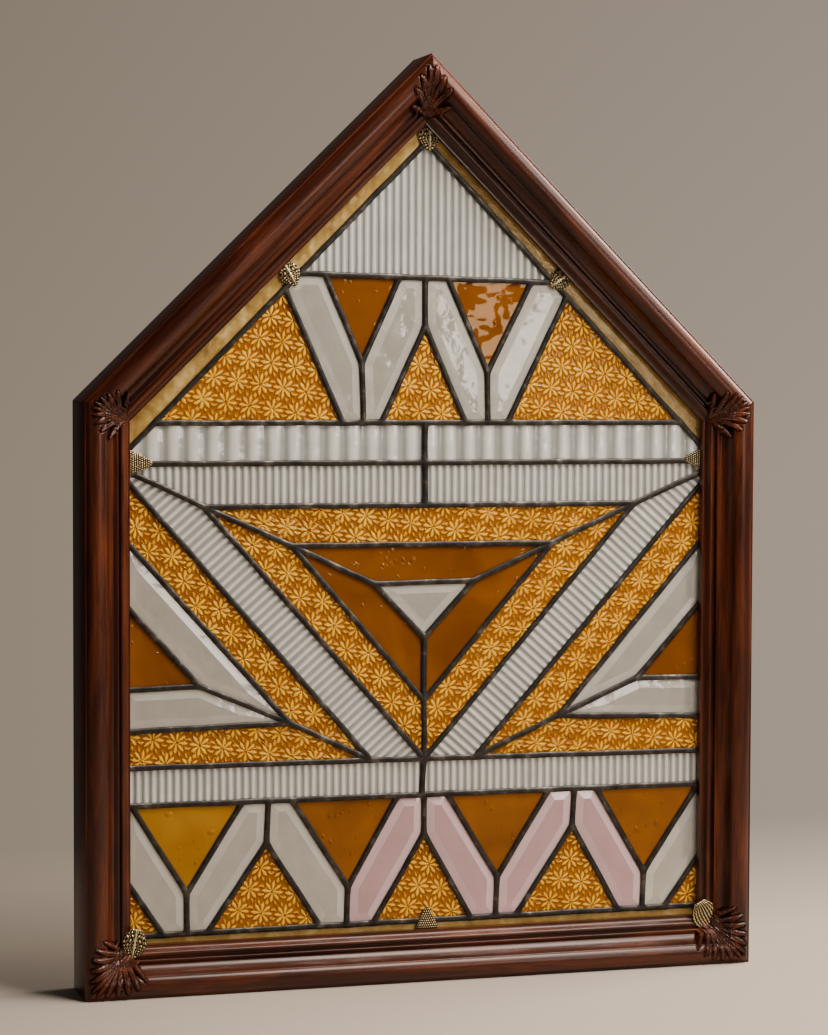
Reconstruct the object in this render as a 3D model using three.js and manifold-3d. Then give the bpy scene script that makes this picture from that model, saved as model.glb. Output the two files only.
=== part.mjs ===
// Gable-topped leaded window: a carved, moulded hardwood frame round a leaded panel of
// reeded, star-patterned, seedy and bevelled glass.
// Millimetres. X is the width, Z is up, and the decorated front faces -Y.
// The origin is the middle of the underside.
import * as THREE from 'three';
import { mergeVertices } from 'three/addons/utils/BufferGeometryUtils.js';
import Module from 'manifold-3d';

const wasm = await Module();
wasm.setup();

// ---------------------------------------------------------------- driving dimensions

const WIDTH = 720;
const EAVE_HEIGHT = 603;
const APEX_HEIGHT = 959;
const BODY_DEPTH = 75;
const LEAF_RISE = 2;          // the carved leaves stand this far in front of the moulding
const MITRE_GAP = 0.3;
const FIT_GAP = 0.3;

// Moulding section: `inset` runs from the outer edge towards the glass,
// `depth` runs back from the crest of the outer round.
const EDGE_DEPTH = 5.3;       // front of the plain outer side
const FILLET_WIDTH = 4.6;
const ROUND = { inset: 13, depth: 8.6, radius: 8.6 };
const COVE = { from: 21, bottom: 25.6, to: 30, depth: 17.8, rise: 0.8 };
const BEAD = { inset: 33, depth: 20.8, radius: 3.2 };
const QUIRK = { from: 36.6, to: 38.4, depth: 23 };
const LIP = { from: 39.4, to: 43.2, depth: 21, round: 0.7 };
const SIGHT = { inset: 50, depth: 27 };
const SIGHT_CROWN = 1;        // how far the slope from the lip to the sight edge sinks

// The leaded panel stands in a groove that runs round the inside of the frame.
const GROOVE_BOTTOM = 42;
const GROOVE_FRONT = 35;
const BORDER_INSET = 46;      // middle of the border came

// Lead came: an H section that holds a pane on each side.
const CAME = {
  crown: 1.7, round: 1.1, face: 3, heart: 0.6, front: 1.6, channel: 4.6, back: 1.3,
};
const CAME_DEPTH = CAME.front + CAME.channel + CAME.back;
const GROOVE_BACK = GROOVE_FRONT + CAME_DEPTH + 2 * FIT_GAP;

// Glass
const PANE_CLEARANCE = CAME.heart + FIT_GAP;
const SHEET = 4;
const BEVEL = { edge: 3, width: 10.5, full: 5.3 };

// Carved corner leaves: one row per pair of lobes, angles from the mitre in degrees.
const LEAF_ROOT_INSET = 45;
const LEAF_LOBES = [
  { angle: 0, length: 50, width: 6.2 },
  { angle: 21, length: 43, width: 6.0 },
  { angle: 45, length: 37, width: 5.6 },
  { angle: 74, length: 29, width: 4.6 },
];
const LEAF_SCALE = { apex: 1, eave: 0.8, foot: 1.04 };

// ---------------------------------------------------------------- frame of reference

const CREST_Y = -(BODY_DEPTH + LEAF_RISE) / 2 + LEAF_RISE;
const toY = (depth) => CREST_Y + depth;
const PANEL_FRONT = GROOVE_FRONT + FIT_GAP;

// Corners of the outer edge, clockwise from the foot on the left, in the X-Z plane.
const CORNERS = [
  new THREE.Vector2(-WIDTH / 2, 0),
  new THREE.Vector2(-WIDTH / 2, EAVE_HEIGHT),
  new THREE.Vector2(0, APEX_HEIGHT),
  new THREE.Vector2(WIDTH / 2, EAVE_HEIGHT),
  new THREE.Vector2(WIDTH / 2, 0),
];
const next = (i) => (i + 1) % CORNERS.length;
const previous = (i) => (i + CORNERS.length - 1) % CORNERS.length;
const along = (i) => CORNERS[next(i)].clone().sub(CORNERS[i]).normalize();
const inward = (i) => new THREE.Vector2(along(i).y, -along(i).x);

// Where two members meet, a point `inset` from both of their outer edges.
function mitrePoint(i, inset) {
  const a = inward(previous(i));
  const b = inward(i);
  const sum = a.clone().add(b);
  return CORNERS[i].clone().addScaledVector(sum, inset / (1 + a.dot(b)));
}

// ---------------------------------------------------------------- mesh helpers

const REDUCED = 1e-4;
const JOINT_TOLERANCE = 0.02;

function cleaned(geometry) {
  geometry.deleteAttribute('normal');
  geometry.deleteAttribute('uv');
  const merged = mergeVertices(geometry, REDUCED);
  const p = merged.attributes.position;
  const index = [];
  for (let i = 0; i < merged.index.count; i += 3) {
    const corners = [0, 1, 2].map((k) => merged.index.getX(i + k));
    if (new Set(corners).size === 3) index.push(...corners);
  }
  const [a, b, c] = [new THREE.Vector3(), new THREE.Vector3(), new THREE.Vector3()];
  let volume = 0;
  for (let i = 0; i < index.length; i += 3) {
    a.fromBufferAttribute(p, index[i]);
    b.fromBufferAttribute(p, index[i + 1]);
    c.fromBufferAttribute(p, index[i + 2]);
    volume += a.dot(b.cross(c));
  }
  if (volume < 0) {
    for (let i = 0; i < index.length; i += 3) {
      [index[i + 1], index[i + 2]] = [index[i + 2], index[i + 1]];
    }
  }
  merged.setIndex(index);
  return merged;
}

function toSolid(geometry) {
  return new wasm.Manifold(new wasm.Mesh({
    numProp: 3,
    vertProperties: Float32Array.from(geometry.attributes.position.array),
    triVerts: Uint32Array.from(geometry.index.array),
  }));
}

function toGeometry(solid) {
  const mesh = solid.getMesh();
  const geometry = new THREE.BufferGeometry();
  geometry.setAttribute('position', new THREE.BufferAttribute(mesh.vertProperties, 3));
  geometry.setIndex(new THREE.BufferAttribute(mesh.triVerts, 1));
  return geometry;
}

// A flat outline (x, z) as a ring of points at one depth.
const ringAt = (outline, depth) => outline.map((q) => new THREE.Vector3(q.x, toY(depth), q.y));

// A clockwise outline moved inwards by a distance, each side kept parallel to itself.
function shrink(outline, distance) {
  return outline.map((corner, i) => {
    const before = outline[(i + outline.length - 1) % outline.length];
    const after = outline[(i + 1) % outline.length];
    const u = corner.clone().sub(before).normalize();
    const v = after.clone().sub(corner).normalize();
    const a = new THREE.Vector2(u.y, -u.x);
    const b = new THREE.Vector2(v.y, -v.x);
    const sum = a.clone().add(b);
    return corner.clone().addScaledVector(sum, distance / (1 + a.dot(b)));
  });
}

// Rings of equal length, joined in order and closed at each end by a fan from their first point.
function loft(rings) {
  const count = rings[0].length;
  const positions = rings.flat().flatMap((v) => [v.x, v.y, v.z]);
  const index = [];
  for (let r = 0; r + 1 < rings.length; r += 1) {
    for (let k = 0; k < count; k += 1) {
      const a = r * count + k;
      const b = r * count + ((k + 1) % count);
      index.push(a, b, a + count, b, b + count, a + count);
    }
  }
  const last = (rings.length - 1) * count;
  for (let k = 1; k + 1 < count; k += 1) {
    index.push(0, k + 1, k, last, last + k, last + k + 1);
  }
  const geometry = new THREE.BufferGeometry();
  geometry.setAttribute('position', new THREE.Float32BufferAttribute(positions, 3));
  geometry.setIndex(index);
  return cleaned(geometry);
}

// ---------------------------------------------------------------- frame members

function arcPoints(centre, radius, from, to, steps) {
  return Array.from({ length: steps + 1 }, (_, i) => {
    const a = from + ((to - from) * i) / steps;
    return new THREE.Vector2(centre.x - radius.x * Math.cos(a), centre.y - radius.y * Math.sin(a));
  });
}

// The moulding's front, as (inset, depth), from the outer edge to the sight edge.
function mouldingFront() {
  const at = (inset, depth) => new THREE.Vector2(inset, depth);
  const roundStart = Math.acos((ROUND.inset - FILLET_WIDTH) / ROUND.radius);
  const roundEnd = Math.PI - Math.acos((COVE.from - ROUND.inset) / ROUND.radius);
  const round = arcPoints(
    at(ROUND.inset, ROUND.depth), at(ROUND.radius, ROUND.radius), roundStart, roundEnd, 8,
  );
  const coveTop = round[round.length - 1].y;
  const fall = arcPoints(
    at(COVE.bottom, coveTop), at(COVE.bottom - COVE.from, coveTop - COVE.depth), 0, Math.PI / 2, 4,
  );
  const coveEnd = COVE.depth - COVE.rise;
  const rise = arcPoints(
    at(COVE.bottom, coveEnd), at(COVE.to - COVE.bottom, -COVE.rise), Math.PI / 2, Math.PI * 0.8, 2,
  );
  const beadStart = Math.asin((BEAD.depth - coveEnd) / BEAD.radius * 0.75);
  const bead = arcPoints(
    at(BEAD.inset, BEAD.depth), at(BEAD.radius, BEAD.radius), beadStart, Math.PI, 5,
  );
  const lipMiddle = (LIP.from + LIP.to) / 2;
  return [
    at(0, EDGE_DEPTH),
    ...round,
    ...fall.slice(1),
    ...rise.slice(1),
    ...bead,
    at(QUIRK.from, QUIRK.depth),
    at(QUIRK.to, QUIRK.depth),
    at(LIP.from, LIP.depth + LIP.round),
    at(lipMiddle, LIP.depth),
    at(LIP.to, LIP.depth + LIP.round),
    at((LIP.to + SIGHT.inset) / 2, (LIP.depth + LIP.round + SIGHT.depth) / 2 + SIGHT_CROWN),
    at(SIGHT.inset, SIGHT.depth),
  ];
}

function memberSection() {
  return [
    ...mouldingFront(),
    new THREE.Vector2(SIGHT.inset, GROOVE_FRONT),
    new THREE.Vector2(GROOVE_BOTTOM, GROOVE_FRONT),
    new THREE.Vector2(GROOVE_BOTTOM, GROOVE_BACK),
    new THREE.Vector2(SIGHT.inset, GROOVE_BACK),
    new THREE.Vector2(SIGHT.inset, BODY_DEPTH),
    new THREE.Vector2(0, BODY_DEPTH),
  ];
}

// A bar of the moulding from corner i to the next one, cut to the mitre at both ends.
function memberGeometry(i) {
  const geometry = new THREE.ExtrudeGeometry(new THREE.Shape(memberSection()), {
    depth: 1, bevelEnabled: false,
  });
  const p = geometry.attributes.position;
  for (let k = 0; k < p.count; k += 1) {
    const inset = p.getX(k);
    const depth = p.getY(k);
    const atEnd = p.getZ(k) > 0.5;
    const corner = mitrePoint(atEnd ? next(i) : i, inset);
    corner.addScaledVector(along(i), atEnd ? -MITRE_GAP / 2 : MITRE_GAP / 2);
    p.setXYZ(k, corner.x, toY(depth), corner.y);
  }
  return cleaned(geometry);
}

// ---------------------------------------------------------------- carved leaves

const LOBE_STEPS = 5;
const LOBE_FALL = 1.8;       // from the crest of a lobe to its edges
const LEAF_MARGIN = 1.2;     // the leaf stops this far inside the outer edge

// Depth at which a leaf rides over the moulding: a ramp from the lip to the outer round.
function leafDepth(inset) {
  const outer = ROUND.inset - 2;
  const part = THREE.MathUtils.clamp((inset - outer) / (LIP.to - outer), 0, 1);
  return LIP.depth * part ** 0.9;
}

// How far a point lies inside the outer edge.
function insetOf(point) {
  return Math.min(...CORNERS.map((c, i) => point.clone().sub(c).dot(inward(i))));
}

// One lobe: a tongue that leaves the root, bends away from the mitre and ends in a raised tip.
function lobeGeometry(root, axis, side, lobe, scale) {
  const across = new THREE.Vector2(-axis.y, axis.x).multiplyScalar(side);
  const bend = THREE.MathUtils.degToRad(lobe.angle);
  const centres = Array.from({ length: LOBE_STEPS + 1 }, (_, k) => {
    const s = k / LOBE_STEPS;
    const angle = bend * (0.35 + 0.65 * s) + (bend > 0 ? 0.3 * s ** 3 : 0);
    const reach = (0.06 + 0.94 * s) * lobe.length * scale;
    return root.clone()
      .addScaledVector(axis, reach * Math.cos(angle))
      .addScaledVector(across, reach * Math.sin(angle));
  });
  const rings = centres.map((centre, k) => {
    const s = k / LOBE_STEPS;
    const ahead = centres[Math.min(k + 1, LOBE_STEPS)];
    const behind = centres[Math.max(k - 1, 0)];
    const direction = ahead.clone().sub(behind).normalize();
    const normal = new THREE.Vector2(-direction.y, direction.x);
    const swell = 0.3 + 0.7 * Math.sin(Math.PI * Math.min(1, 0.12 + 0.62 * s));
    const half = (lobe.width / 2) * scale * (k === LOBE_STEPS ? 0.55 : swell * 1.15);
    const inset = insetOf(centre);
    const rise = LEAF_RISE * (0.5 + 0.5 * s);
    const crest = Math.max(-LEAF_RISE, leafDepth(inset) - rise);
    const foot = Math.min(crest + 13, GROOVE_FRONT - 2);
    const point = (offset, depth) => {
      const q = centre.clone().addScaledVector(normal, offset * half);
      return new THREE.Vector3(q.x, toY(depth), q.y);
    };
    return [
      point(-1, foot), point(-1, crest + LOBE_FALL), point(0, crest),
      point(1, crest + LOBE_FALL), point(1, foot),
    ];
  });
  return loft(rings);
}

function leafSolid(i, scale) {
  const root = mitrePoint(i, LEAF_ROOT_INSET);
  const axis = CORNERS[i].clone().sub(root).normalize();
  const lobes = LEAF_LOBES.flatMap((lobe) => {
    const sides = lobe.angle === 0 ? [1] : [1, -1];
    return sides.map((side) => toSolid(lobeGeometry(root, axis, side, lobe, scale)));
  });
  const whole = lobes.reduce((sum, lobe) => sum.add(lobe));
  return [previous(i), i].reduce((leaf, member) => {
    const normal = inward(member);
    const edge = normal.dot(CORNERS[member]) + LEAF_MARGIN;
    return leaf.trimByPlane([normal.x, 0, normal.y], edge);
  }, whole);
}

// The half of a leaf on one side of the mitre at corner i.
function leafHalf(leaf, i, onNextMember) {
  const mitre = CORNERS[i].clone().sub(mitrePoint(i, LEAF_ROOT_INSET)).normalize();
  const member = along(onNextMember ? i : previous(i)).multiplyScalar(onNextMember ? 1 : -1);
  const normal = new THREE.Vector2(-mitre.y, mitre.x);
  if (normal.dot(member) < 0) normal.negate();
  const start = CORNERS[i].clone().addScaledVector(member, MITRE_GAP / 2);
  return leaf.trimByPlane([normal.x, 0, normal.y], normal.dot(start));
}

// ---------------------------------------------------------------- leading layout

// Joints of the leading, as (x, z). `line` gives a point on the straight between two joints.
const joint = (x, z) => new THREE.Vector2(x, z);
const line = (a, b, x) => joint(x, a.y + ((b.y - a.y) * (x - a.x)) / (b.x - a.x));
const BORDER = CORNERS.map((_, i) => mitrePoint(i, BORDER_INSET));
const [BORDER_FOOT_L, BORDER_EAVE_L, BORDER_APEX, BORDER_EAVE_R, BORDER_FOOT_R] = BORDER;
const LEFT = BORDER_FOOT_L.x;
const RIGHT = BORDER_FOOT_R.x;

// Gable: the perimeter came below the rake border, and the came under the reeded triangle.
const gableApex = joint(3.5, 871);
const rowLeft = joint(-283, 580.5);
const rowRight = joint(288, 580.5);
const eaveLeft = line(rowLeft, gableApex, LEFT);
const eaveRight = line(rowRight, gableApex, RIGHT);
const reedLeft = line(rowLeft, gableApex, -132);
const reedRight = line(rowRight, gableApex, 144);
const onReed = (x) => line(reedLeft, reedRight, x);
const onRow = (x) => line(rowLeft, rowRight, x);

// Row of stars, amber drops and clear bars in the gable.
const starLeftTop = line(rowLeft, gableApex, -147);
const starRightTop = line(rowRight, gableApex, 158.5);
const starLeftFoot = onRow(-85.5);
const starRightFoot = onRow(93.5);
const dropLeft = [onReed(-104.5), onReed(-24.5), joint(-65, 642)];
const dropLeftStem = onRow(-63);
const dropRight = [onReed(28), onReed(119.5), joint(71.5, 633)];
const dropRightStem = onRow(72);
const gableStem = onReed(3);
const midStar = [onRow(-44), joint(3, 681), onRow(47.5)];
const rowMiddle = onRow(3.5);

// The two reeded bands under the gable.
const bandMiddle = joint(3.5, 539);
const bandLeft = joint(LEFT, 539);
const bandRight = joint(RIGHT, 539);
const shoulderLeft = joint(-232, 495);
const shoulderRight = joint(236.5, 494.5);
const shoulderMiddle = line(shoulderLeft, shoulderRight, 3.5);
const hipLeft = joint(LEFT, 533.5);
const hipRight = joint(RIGHT, 527.5);

// Inverted triangle: reeded arms, a ring of stars, a ring of amber and a clear middle.
const tip = joint(3.5, 229);
const armLeftTop = joint(LEFT, 525.5);
const armRightTop = joint(RIGHT, 516.5);
const baseLeft = joint(LEFT, 230);
const baseRight = joint(RIGHT, 227);
const armLeftFoot = line(baseLeft, tip, -54);
const armRightFoot = line(tip, baseRight, 59);
const ringOuter = [joint(-139.5, 454), joint(144, 453.5), joint(3, 290)];
const ringInner = [joint(-51, 413), joint(57, 415), joint(3, 356)];

// Sides of the middle field.
const sideTopLeft = joint(LEFT, 463);
const sideTopRight = joint(RIGHT, 454.5);
const elbowLeft = joint(-141.5, 271);
const elbowRight = joint(152.5, 270);
const sideMidLeft = joint(LEFT, 397.5);
const sideMidRight = joint(RIGHT, 388.5);
const kneeLeft = joint(-236, 311.5);
const kneeRight = joint(241, 307.5);
const sideLowLeft = joint(LEFT, 309.5);
const sideLowRight = joint(RIGHT, 306.5);
const sideFootLeft = joint(LEFT, 267);
const sideFootRight = joint(RIGHT, 264.5);

// Row of drops and stars along the foot.
const footTopLeft = joint(LEFT, 191);
const footTopRight = joint(RIGHT, 191);
const footLeft = joint(LEFT, 57.5);
const footRight = joint(RIGHT, 59);
const onFootTop = (x) => line(footTopLeft, footTopRight, x);
const onFoot = (x) => line(footLeft, footRight, x);
const FOOT_DROPS = [
  [onFootTop(-307), onFootTop(-191.5), joint(-250, 99)],
  [onFootTop(-139.5), onFootTop(-25), joint(-79, 97.5)],
  [onFootTop(28.5), onFootTop(142), joint(84.5, 100.5)],
  [onFootTop(195), onFootTop(312.5), joint(250, 98.5)],
];
const FOOT_STEMS = [onFoot(-249.5), onFoot(-80), onFoot(83), onFoot(248.5)];
const FOOT_STARS = [
  [onFoot(-228), joint(-166, 147.5), onFoot(-109)],
  [onFoot(-51.5), joint(3.5, 150.5), onFoot(55.5)],
  [onFoot(105.5), joint(168.5, 151.5), onFoot(220.5)],
];
const FOOT_POSTS = [onFootTop(-164), onFootTop(3.5), onFootTop(170.5)];
const footCornerLeft = [joint(LEFT, 116.5), onFoot(-274.5)];
const footCornerRight = [joint(RIGHT, 114.5), onFoot(274)];

// ---------------------------------------------------------------- panes

const paneFront = PANEL_FRONT + CAME.front + FIT_GAP;
const paneBack = paneFront + SHEET;

function sheetPane(cell) {
  const edge = shrink(cell, PANE_CLEARANCE);
  return loft([ringAt(edge, paneFront), ringAt(edge, paneBack)]);
}

// The flat of a bevelled pane. A side too short to last across the bevel ends in one point.
function flatOf(edge) {
  const flat = shrink(edge, BEVEL.width);
  const count = flat.length;
  for (let i = 0; i < count; i += 1) {
    const k = (i + 1) % count;
    const side = flat[k].clone().sub(flat[i]);
    if (side.dot(edge[k].clone().sub(edge[i])) < 0) {
      const start = flat[(i + count - 1) % count];
      const end = flat[(k + 1) % count];
      const u = flat[i].clone().sub(start);
      const v = flat[k].clone().sub(end);
      const share = end.clone().sub(start).cross(v) / u.cross(v);
      const meeting = start.clone().addScaledVector(u, share);
      flat[i] = meeting;
      flat[k] = meeting;
    }
  }
  return flat;
}

// Thicker plate, ground down to a slope all round its front.
function bevelledPane(cell) {
  const edge = shrink(cell, PANE_CLEARANCE);
  const flat = flatOf(edge);
  return loft([
    ringAt(edge, paneBack),
    ringAt(edge, paneBack - BEVEL.edge),
    ringAt(flat, paneBack - BEVEL.full),
  ]);
}

// Each cell runs clockwise round the middles of the cames that hold its pane.
const SHEETS = {
  gable_reeded_triangle: ['reeded', [reedLeft, gableApex, reedRight]],
  gable_star_left: ['star', [rowLeft, starLeftTop, starLeftFoot]],
  gable_star_middle: ['star', midStar],
  gable_star_right: ['star', [rowRight, starRightFoot, starRightTop]],
  gable_drop_left: ['amber', dropLeft],
  gable_drop_right: ['amber', dropRight],
  broad_reeded_left: ['reeded', [bandLeft, eaveLeft, rowLeft, rowMiddle, bandMiddle]],
  broad_reeded_right: ['reeded', [bandRight, bandMiddle, rowMiddle, rowRight, eaveRight]],
  fine_reeded_left: ['reeded', [hipLeft, bandLeft, bandMiddle, shoulderMiddle, shoulderLeft]],
  fine_reeded_right: ['reeded', [hipRight, shoulderRight, shoulderMiddle, bandMiddle, bandRight]],
  arm_reeded_left: ['reeded', [armLeftTop, hipLeft, shoulderLeft, tip, armLeftFoot]],
  arm_reeded_right: ['reeded', [armRightTop, armRightFoot, tip, shoulderRight, hipRight]],
  ring_star_top: ['star', [shoulderLeft, shoulderRight, ringOuter[1], ringOuter[0]]],
  ring_star_left: ['star', [shoulderLeft, ringOuter[0], ringOuter[2], tip]],
  ring_star_right: ['star', [shoulderRight, tip, ringOuter[2], ringOuter[1]]],
  ring_amber_top: ['amber', [ringOuter[0], ringOuter[1], ringInner[1], ringInner[0]]],
  ring_amber_left: ['amber', [ringOuter[0], ringInner[0], ringInner[2], ringOuter[2]]],
  ring_amber_right: ['amber', [ringOuter[1], ringOuter[2], ringInner[2], ringInner[1]]],
  side_star_left: ['star', [armLeftTop, armLeftFoot, elbowLeft, sideTopLeft]],
  side_star_right: ['star', [armRightTop, sideTopRight, elbowRight, armRightFoot]],
  base_star_left: ['star', [sideFootLeft, elbowLeft, armLeftFoot, baseLeft]],
  base_star_right: ['star', [sideFootRight, baseRight, armRightFoot, elbowRight]],
  side_amber_left: ['amber', [sideMidLeft, kneeLeft, sideLowLeft]],
  side_amber_right: ['amber', [sideMidRight, sideLowRight, kneeRight]],
  lower_reeded_left: ['reeded', [baseLeft, tip, onFootTop(1), footTopLeft]],
  lower_reeded_right: ['reeded', [tip, baseRight, footTopRight, onFootTop(1)]],
  foot_drop_1: ['yellow', FOOT_DROPS[0]],
  foot_drop_2: ['amber', FOOT_DROPS[1]],
  foot_drop_3: ['amber', FOOT_DROPS[2]],
  foot_drop_4: ['amber', FOOT_DROPS[3]],
  foot_star_1: ['star', FOOT_STARS[0]],
  foot_star_2: ['star', FOOT_STARS[1]],
  foot_star_3: ['star', FOOT_STARS[2]],
  foot_corner_star_left: ['star', [...footCornerLeft, footLeft]],
  foot_corner_star_right: ['star', [...footCornerRight, footRight].reverse()],
  border_strip_rakes: ['gold', [
    gableApex, eaveLeft, BORDER_EAVE_L, BORDER_APEX, BORDER_EAVE_R, eaveRight,
  ]],
  border_strip_foot: ['gold', [footLeft, footRight, BORDER_FOOT_R, BORDER_FOOT_L]],
};

const BEVELLED = {
  gable_bar_1: ['clear', [
    reedLeft, dropLeft[0], dropLeft[2], dropLeftStem, starLeftFoot, starLeftTop,
  ]],
  gable_bar_2: ['clear', [
    dropLeft[1], gableStem, midStar[1], midStar[0], dropLeftStem, dropLeft[2],
  ]],
  gable_bar_3: ['clear', [
    gableStem, dropRight[0], dropRight[2], dropRightStem, midStar[2], midStar[1],
  ]],
  gable_bar_4: ['clear', [
    dropRight[1], reedRight, starRightTop, starRightFoot, dropRightStem, dropRight[2],
  ]],
  middle_triangle: ['clear', ringInner],
  side_bevel_left: ['clear', [sideTopLeft, elbowLeft, kneeLeft, sideMidLeft]],
  side_bevel_right: ['clear', [sideTopRight, sideMidRight, kneeRight, elbowRight]],
  side_clear_left: ['clear', [sideLowLeft, kneeLeft, elbowLeft, sideFootLeft]],
  side_clear_right: ['clear', [sideLowRight, sideFootRight, elbowRight, kneeRight]],
};

// Eight bars along the foot, one on each side of every drop.
FOOT_DROPS.forEach((drop, i) => {
  const stem = FOOT_STEMS[i];
  const before = i === 0
    ? [footTopLeft, drop[0], drop[2], stem, footCornerLeft[1], footCornerLeft[0]]
    : [FOOT_POSTS[i - 1], drop[0], drop[2], stem, FOOT_STARS[i - 1][2], FOOT_STARS[i - 1][1]];
  const after = i === FOOT_DROPS.length - 1
    ? [line(drop[2], drop[1], RIGHT), ...footCornerRight, stem, drop[2]]
    : [drop[1], FOOT_POSTS[i], FOOT_STARS[i][1], FOOT_STARS[i][0], stem, drop[2]];
  BEVELLED[`foot_bar_${2 * i + 1}`] = [i === 2 || i === 3 ? 'lilac' : 'clear', before];
  BEVELLED[`foot_bar_${2 * i + 2}`] = [i === 1 || i === 2 ? 'lilac' : 'clear', after];
});

// ---------------------------------------------------------------- leading

// The soldered network of H-section cames: a plate as large as the panel, less an opening for
// every cell that is narrow at the two faces of the lead and wide where it grips the glass.
function leadingGeometry(cells) {
  const { crown, round, face, heart, front, channel } = CAME;
  const section = [
    [2 * crown - face, -round], [face, round], [face, front], [heart, front],
    [heart, front + channel], [face, front + channel], [face, CAME_DEPTH + 1],
  ];
  const plate = shrink(BORDER, GROOVE_BOTTOM + FIT_GAP - BORDER_INSET);
  const openings = cells.map((cell) => toSolid(loft(
    section.map(([reach, depth]) => ringAt(shrink(cell, reach), PANEL_FRONT + depth)),
  )));
  const panel = toSolid(loft([
    ringAt(plate, PANEL_FRONT), ringAt(plate, PANEL_FRONT + CAME_DEPTH),
  ]));
  return toGeometry(openings.reduce((lead, opening) => lead.subtract(opening), panel));
}

// ---------------------------------------------------------------- materials and assembly

const finish = (color, roughness, metalness, opacity = 1) => new THREE.MeshStandardMaterial({
  color, roughness, metalness, opacity, transparent: opacity < 1,
});
const MATERIALS = {
  wood: finish(0x4a2114, 0.32, 0),
  lead: finish(0x3a3733, 0.45, 0.8),
  reeded: finish(0xc8c6ba, 0.08, 0, 0.45),
  clear: finish(0xbdbcae, 0.05, 0, 0.35),
  lilac: finish(0xb193a4, 0.05, 0, 0.5),
  star: finish(0xc98a1e, 0.15, 0, 0.75),
  amber: finish(0x8a4708, 0.06, 0, 0.8),
  yellow: finish(0xa86f08, 0.06, 0, 0.8),
  gold: finish(0xa8853f, 0.2, 0, 0.8),
};

const root = new THREE.Group();
function place(name, geometry, material) {
  const mesh = new THREE.Mesh(geometry, MATERIALS[material]);
  mesh.name = name;
  root.add(mesh);
}

const MEMBERS = [
  'frame_left_stile', 'frame_left_rake', 'frame_right_rake', 'frame_right_stile',
  'frame_bottom_rail',
];
const LEAVES = CORNERS.map((corner, i) => {
  const kind = ['foot', 'eave', 'apex', 'eave', 'foot'][i];
  return leafSolid(i, LEAF_SCALE[kind]);
});
MEMBERS.forEach((name, i) => {
  const member = toSolid(memberGeometry(i))
    .add(leafHalf(LEAVES[i], i, true))
    .add(leafHalf(LEAVES[next(i)], next(i), false))
    .simplify(JOINT_TOLERANCE);
  place(name, toGeometry(member), 'wood');
});
const CELLS = Object.values({ ...SHEETS, ...BEVELLED }).map(([, cell]) => cell);
place('lead_cames', leadingGeometry(CELLS), 'lead');
Object.entries(SHEETS).forEach(([name, [kind, cell]]) => place(name, sheetPane(cell), kind));
Object.entries(BEVELLED).forEach(([name, [kind, cell]]) => place(name, bevelledPane(cell), kind));

export default root;
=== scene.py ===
# %% [markdown]
# # A leaded window in a carved mahogany frame
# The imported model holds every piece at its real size: five frame members, one soldered lead
# network and the panes. Here each of them gets the surface that a maker would give it. Nothing is
# moved. Corners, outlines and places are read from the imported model. The moulding is drawn again
# below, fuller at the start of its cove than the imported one, and stays inside the same box.

# %% Load the fixed model
import math

import bpy
import numpy as np
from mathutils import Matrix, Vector, geometry


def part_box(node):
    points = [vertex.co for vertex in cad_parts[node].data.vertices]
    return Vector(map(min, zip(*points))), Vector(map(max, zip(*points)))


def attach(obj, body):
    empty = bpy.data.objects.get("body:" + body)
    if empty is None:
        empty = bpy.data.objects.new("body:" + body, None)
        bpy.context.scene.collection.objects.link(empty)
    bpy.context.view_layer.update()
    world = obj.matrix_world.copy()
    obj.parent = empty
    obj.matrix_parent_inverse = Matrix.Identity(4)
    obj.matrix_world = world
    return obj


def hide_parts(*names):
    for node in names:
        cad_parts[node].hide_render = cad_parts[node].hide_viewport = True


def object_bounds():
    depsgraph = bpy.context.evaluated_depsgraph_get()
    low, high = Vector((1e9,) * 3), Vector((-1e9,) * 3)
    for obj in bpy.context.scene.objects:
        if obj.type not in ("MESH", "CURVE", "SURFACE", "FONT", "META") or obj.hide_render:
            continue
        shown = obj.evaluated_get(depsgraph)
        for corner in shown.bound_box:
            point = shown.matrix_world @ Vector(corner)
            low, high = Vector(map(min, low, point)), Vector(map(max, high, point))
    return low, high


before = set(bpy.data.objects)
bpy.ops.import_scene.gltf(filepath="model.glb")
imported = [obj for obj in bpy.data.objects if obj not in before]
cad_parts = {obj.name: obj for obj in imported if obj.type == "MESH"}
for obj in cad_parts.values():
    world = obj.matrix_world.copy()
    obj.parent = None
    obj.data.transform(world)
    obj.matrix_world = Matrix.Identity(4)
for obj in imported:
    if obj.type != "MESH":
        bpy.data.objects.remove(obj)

MM = 0.001
cad_low, cad_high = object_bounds()
print("window is", [round(v, 3) for v in cad_high - cad_low], "metres")

# %% [markdown]
# ## Camera
# The window stands upright and is seen from the left, a little above its middle. A long lens
# keeps the sides nearly parallel, as in a catalogue picture of a framed piece. The camera could
# track a target, but three plain angles say the same and nothing can move them.

# %% Camera
LENS, SENSOR_WIDTH = 97.4, 36
EYE = Vector((-0.8396, -2.7907, 0.627))
YAW, PITCH, ROLL = 16.572, 2.856, -0.188

camera = bpy.data.objects.new("camera", bpy.data.cameras.new("camera"))
camera.data.lens = LENS
camera.data.sensor_width = SENSOR_WIDTH
camera.location = EYE
camera.rotation_euler = (
    math.radians(90 - PITCH), math.radians(ROLL), math.radians(-YAW))
bpy.context.scene.collection.objects.link(camera)
bpy.context.scene.camera = camera
print("camera is", round((EYE - (cad_low + cad_high) / 2).length, 2), "metres away")

# %% [markdown]
# ## Helpers for finishes
# A finish is a small graph of shader nodes. Nearly every one here starts from a noise, which is
# turned into colours by a ramp, into a roughness by a range and into a surface by a bump. Each of
# those steps is one short function, so a finish below reads as a list of what the eye sees.

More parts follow.
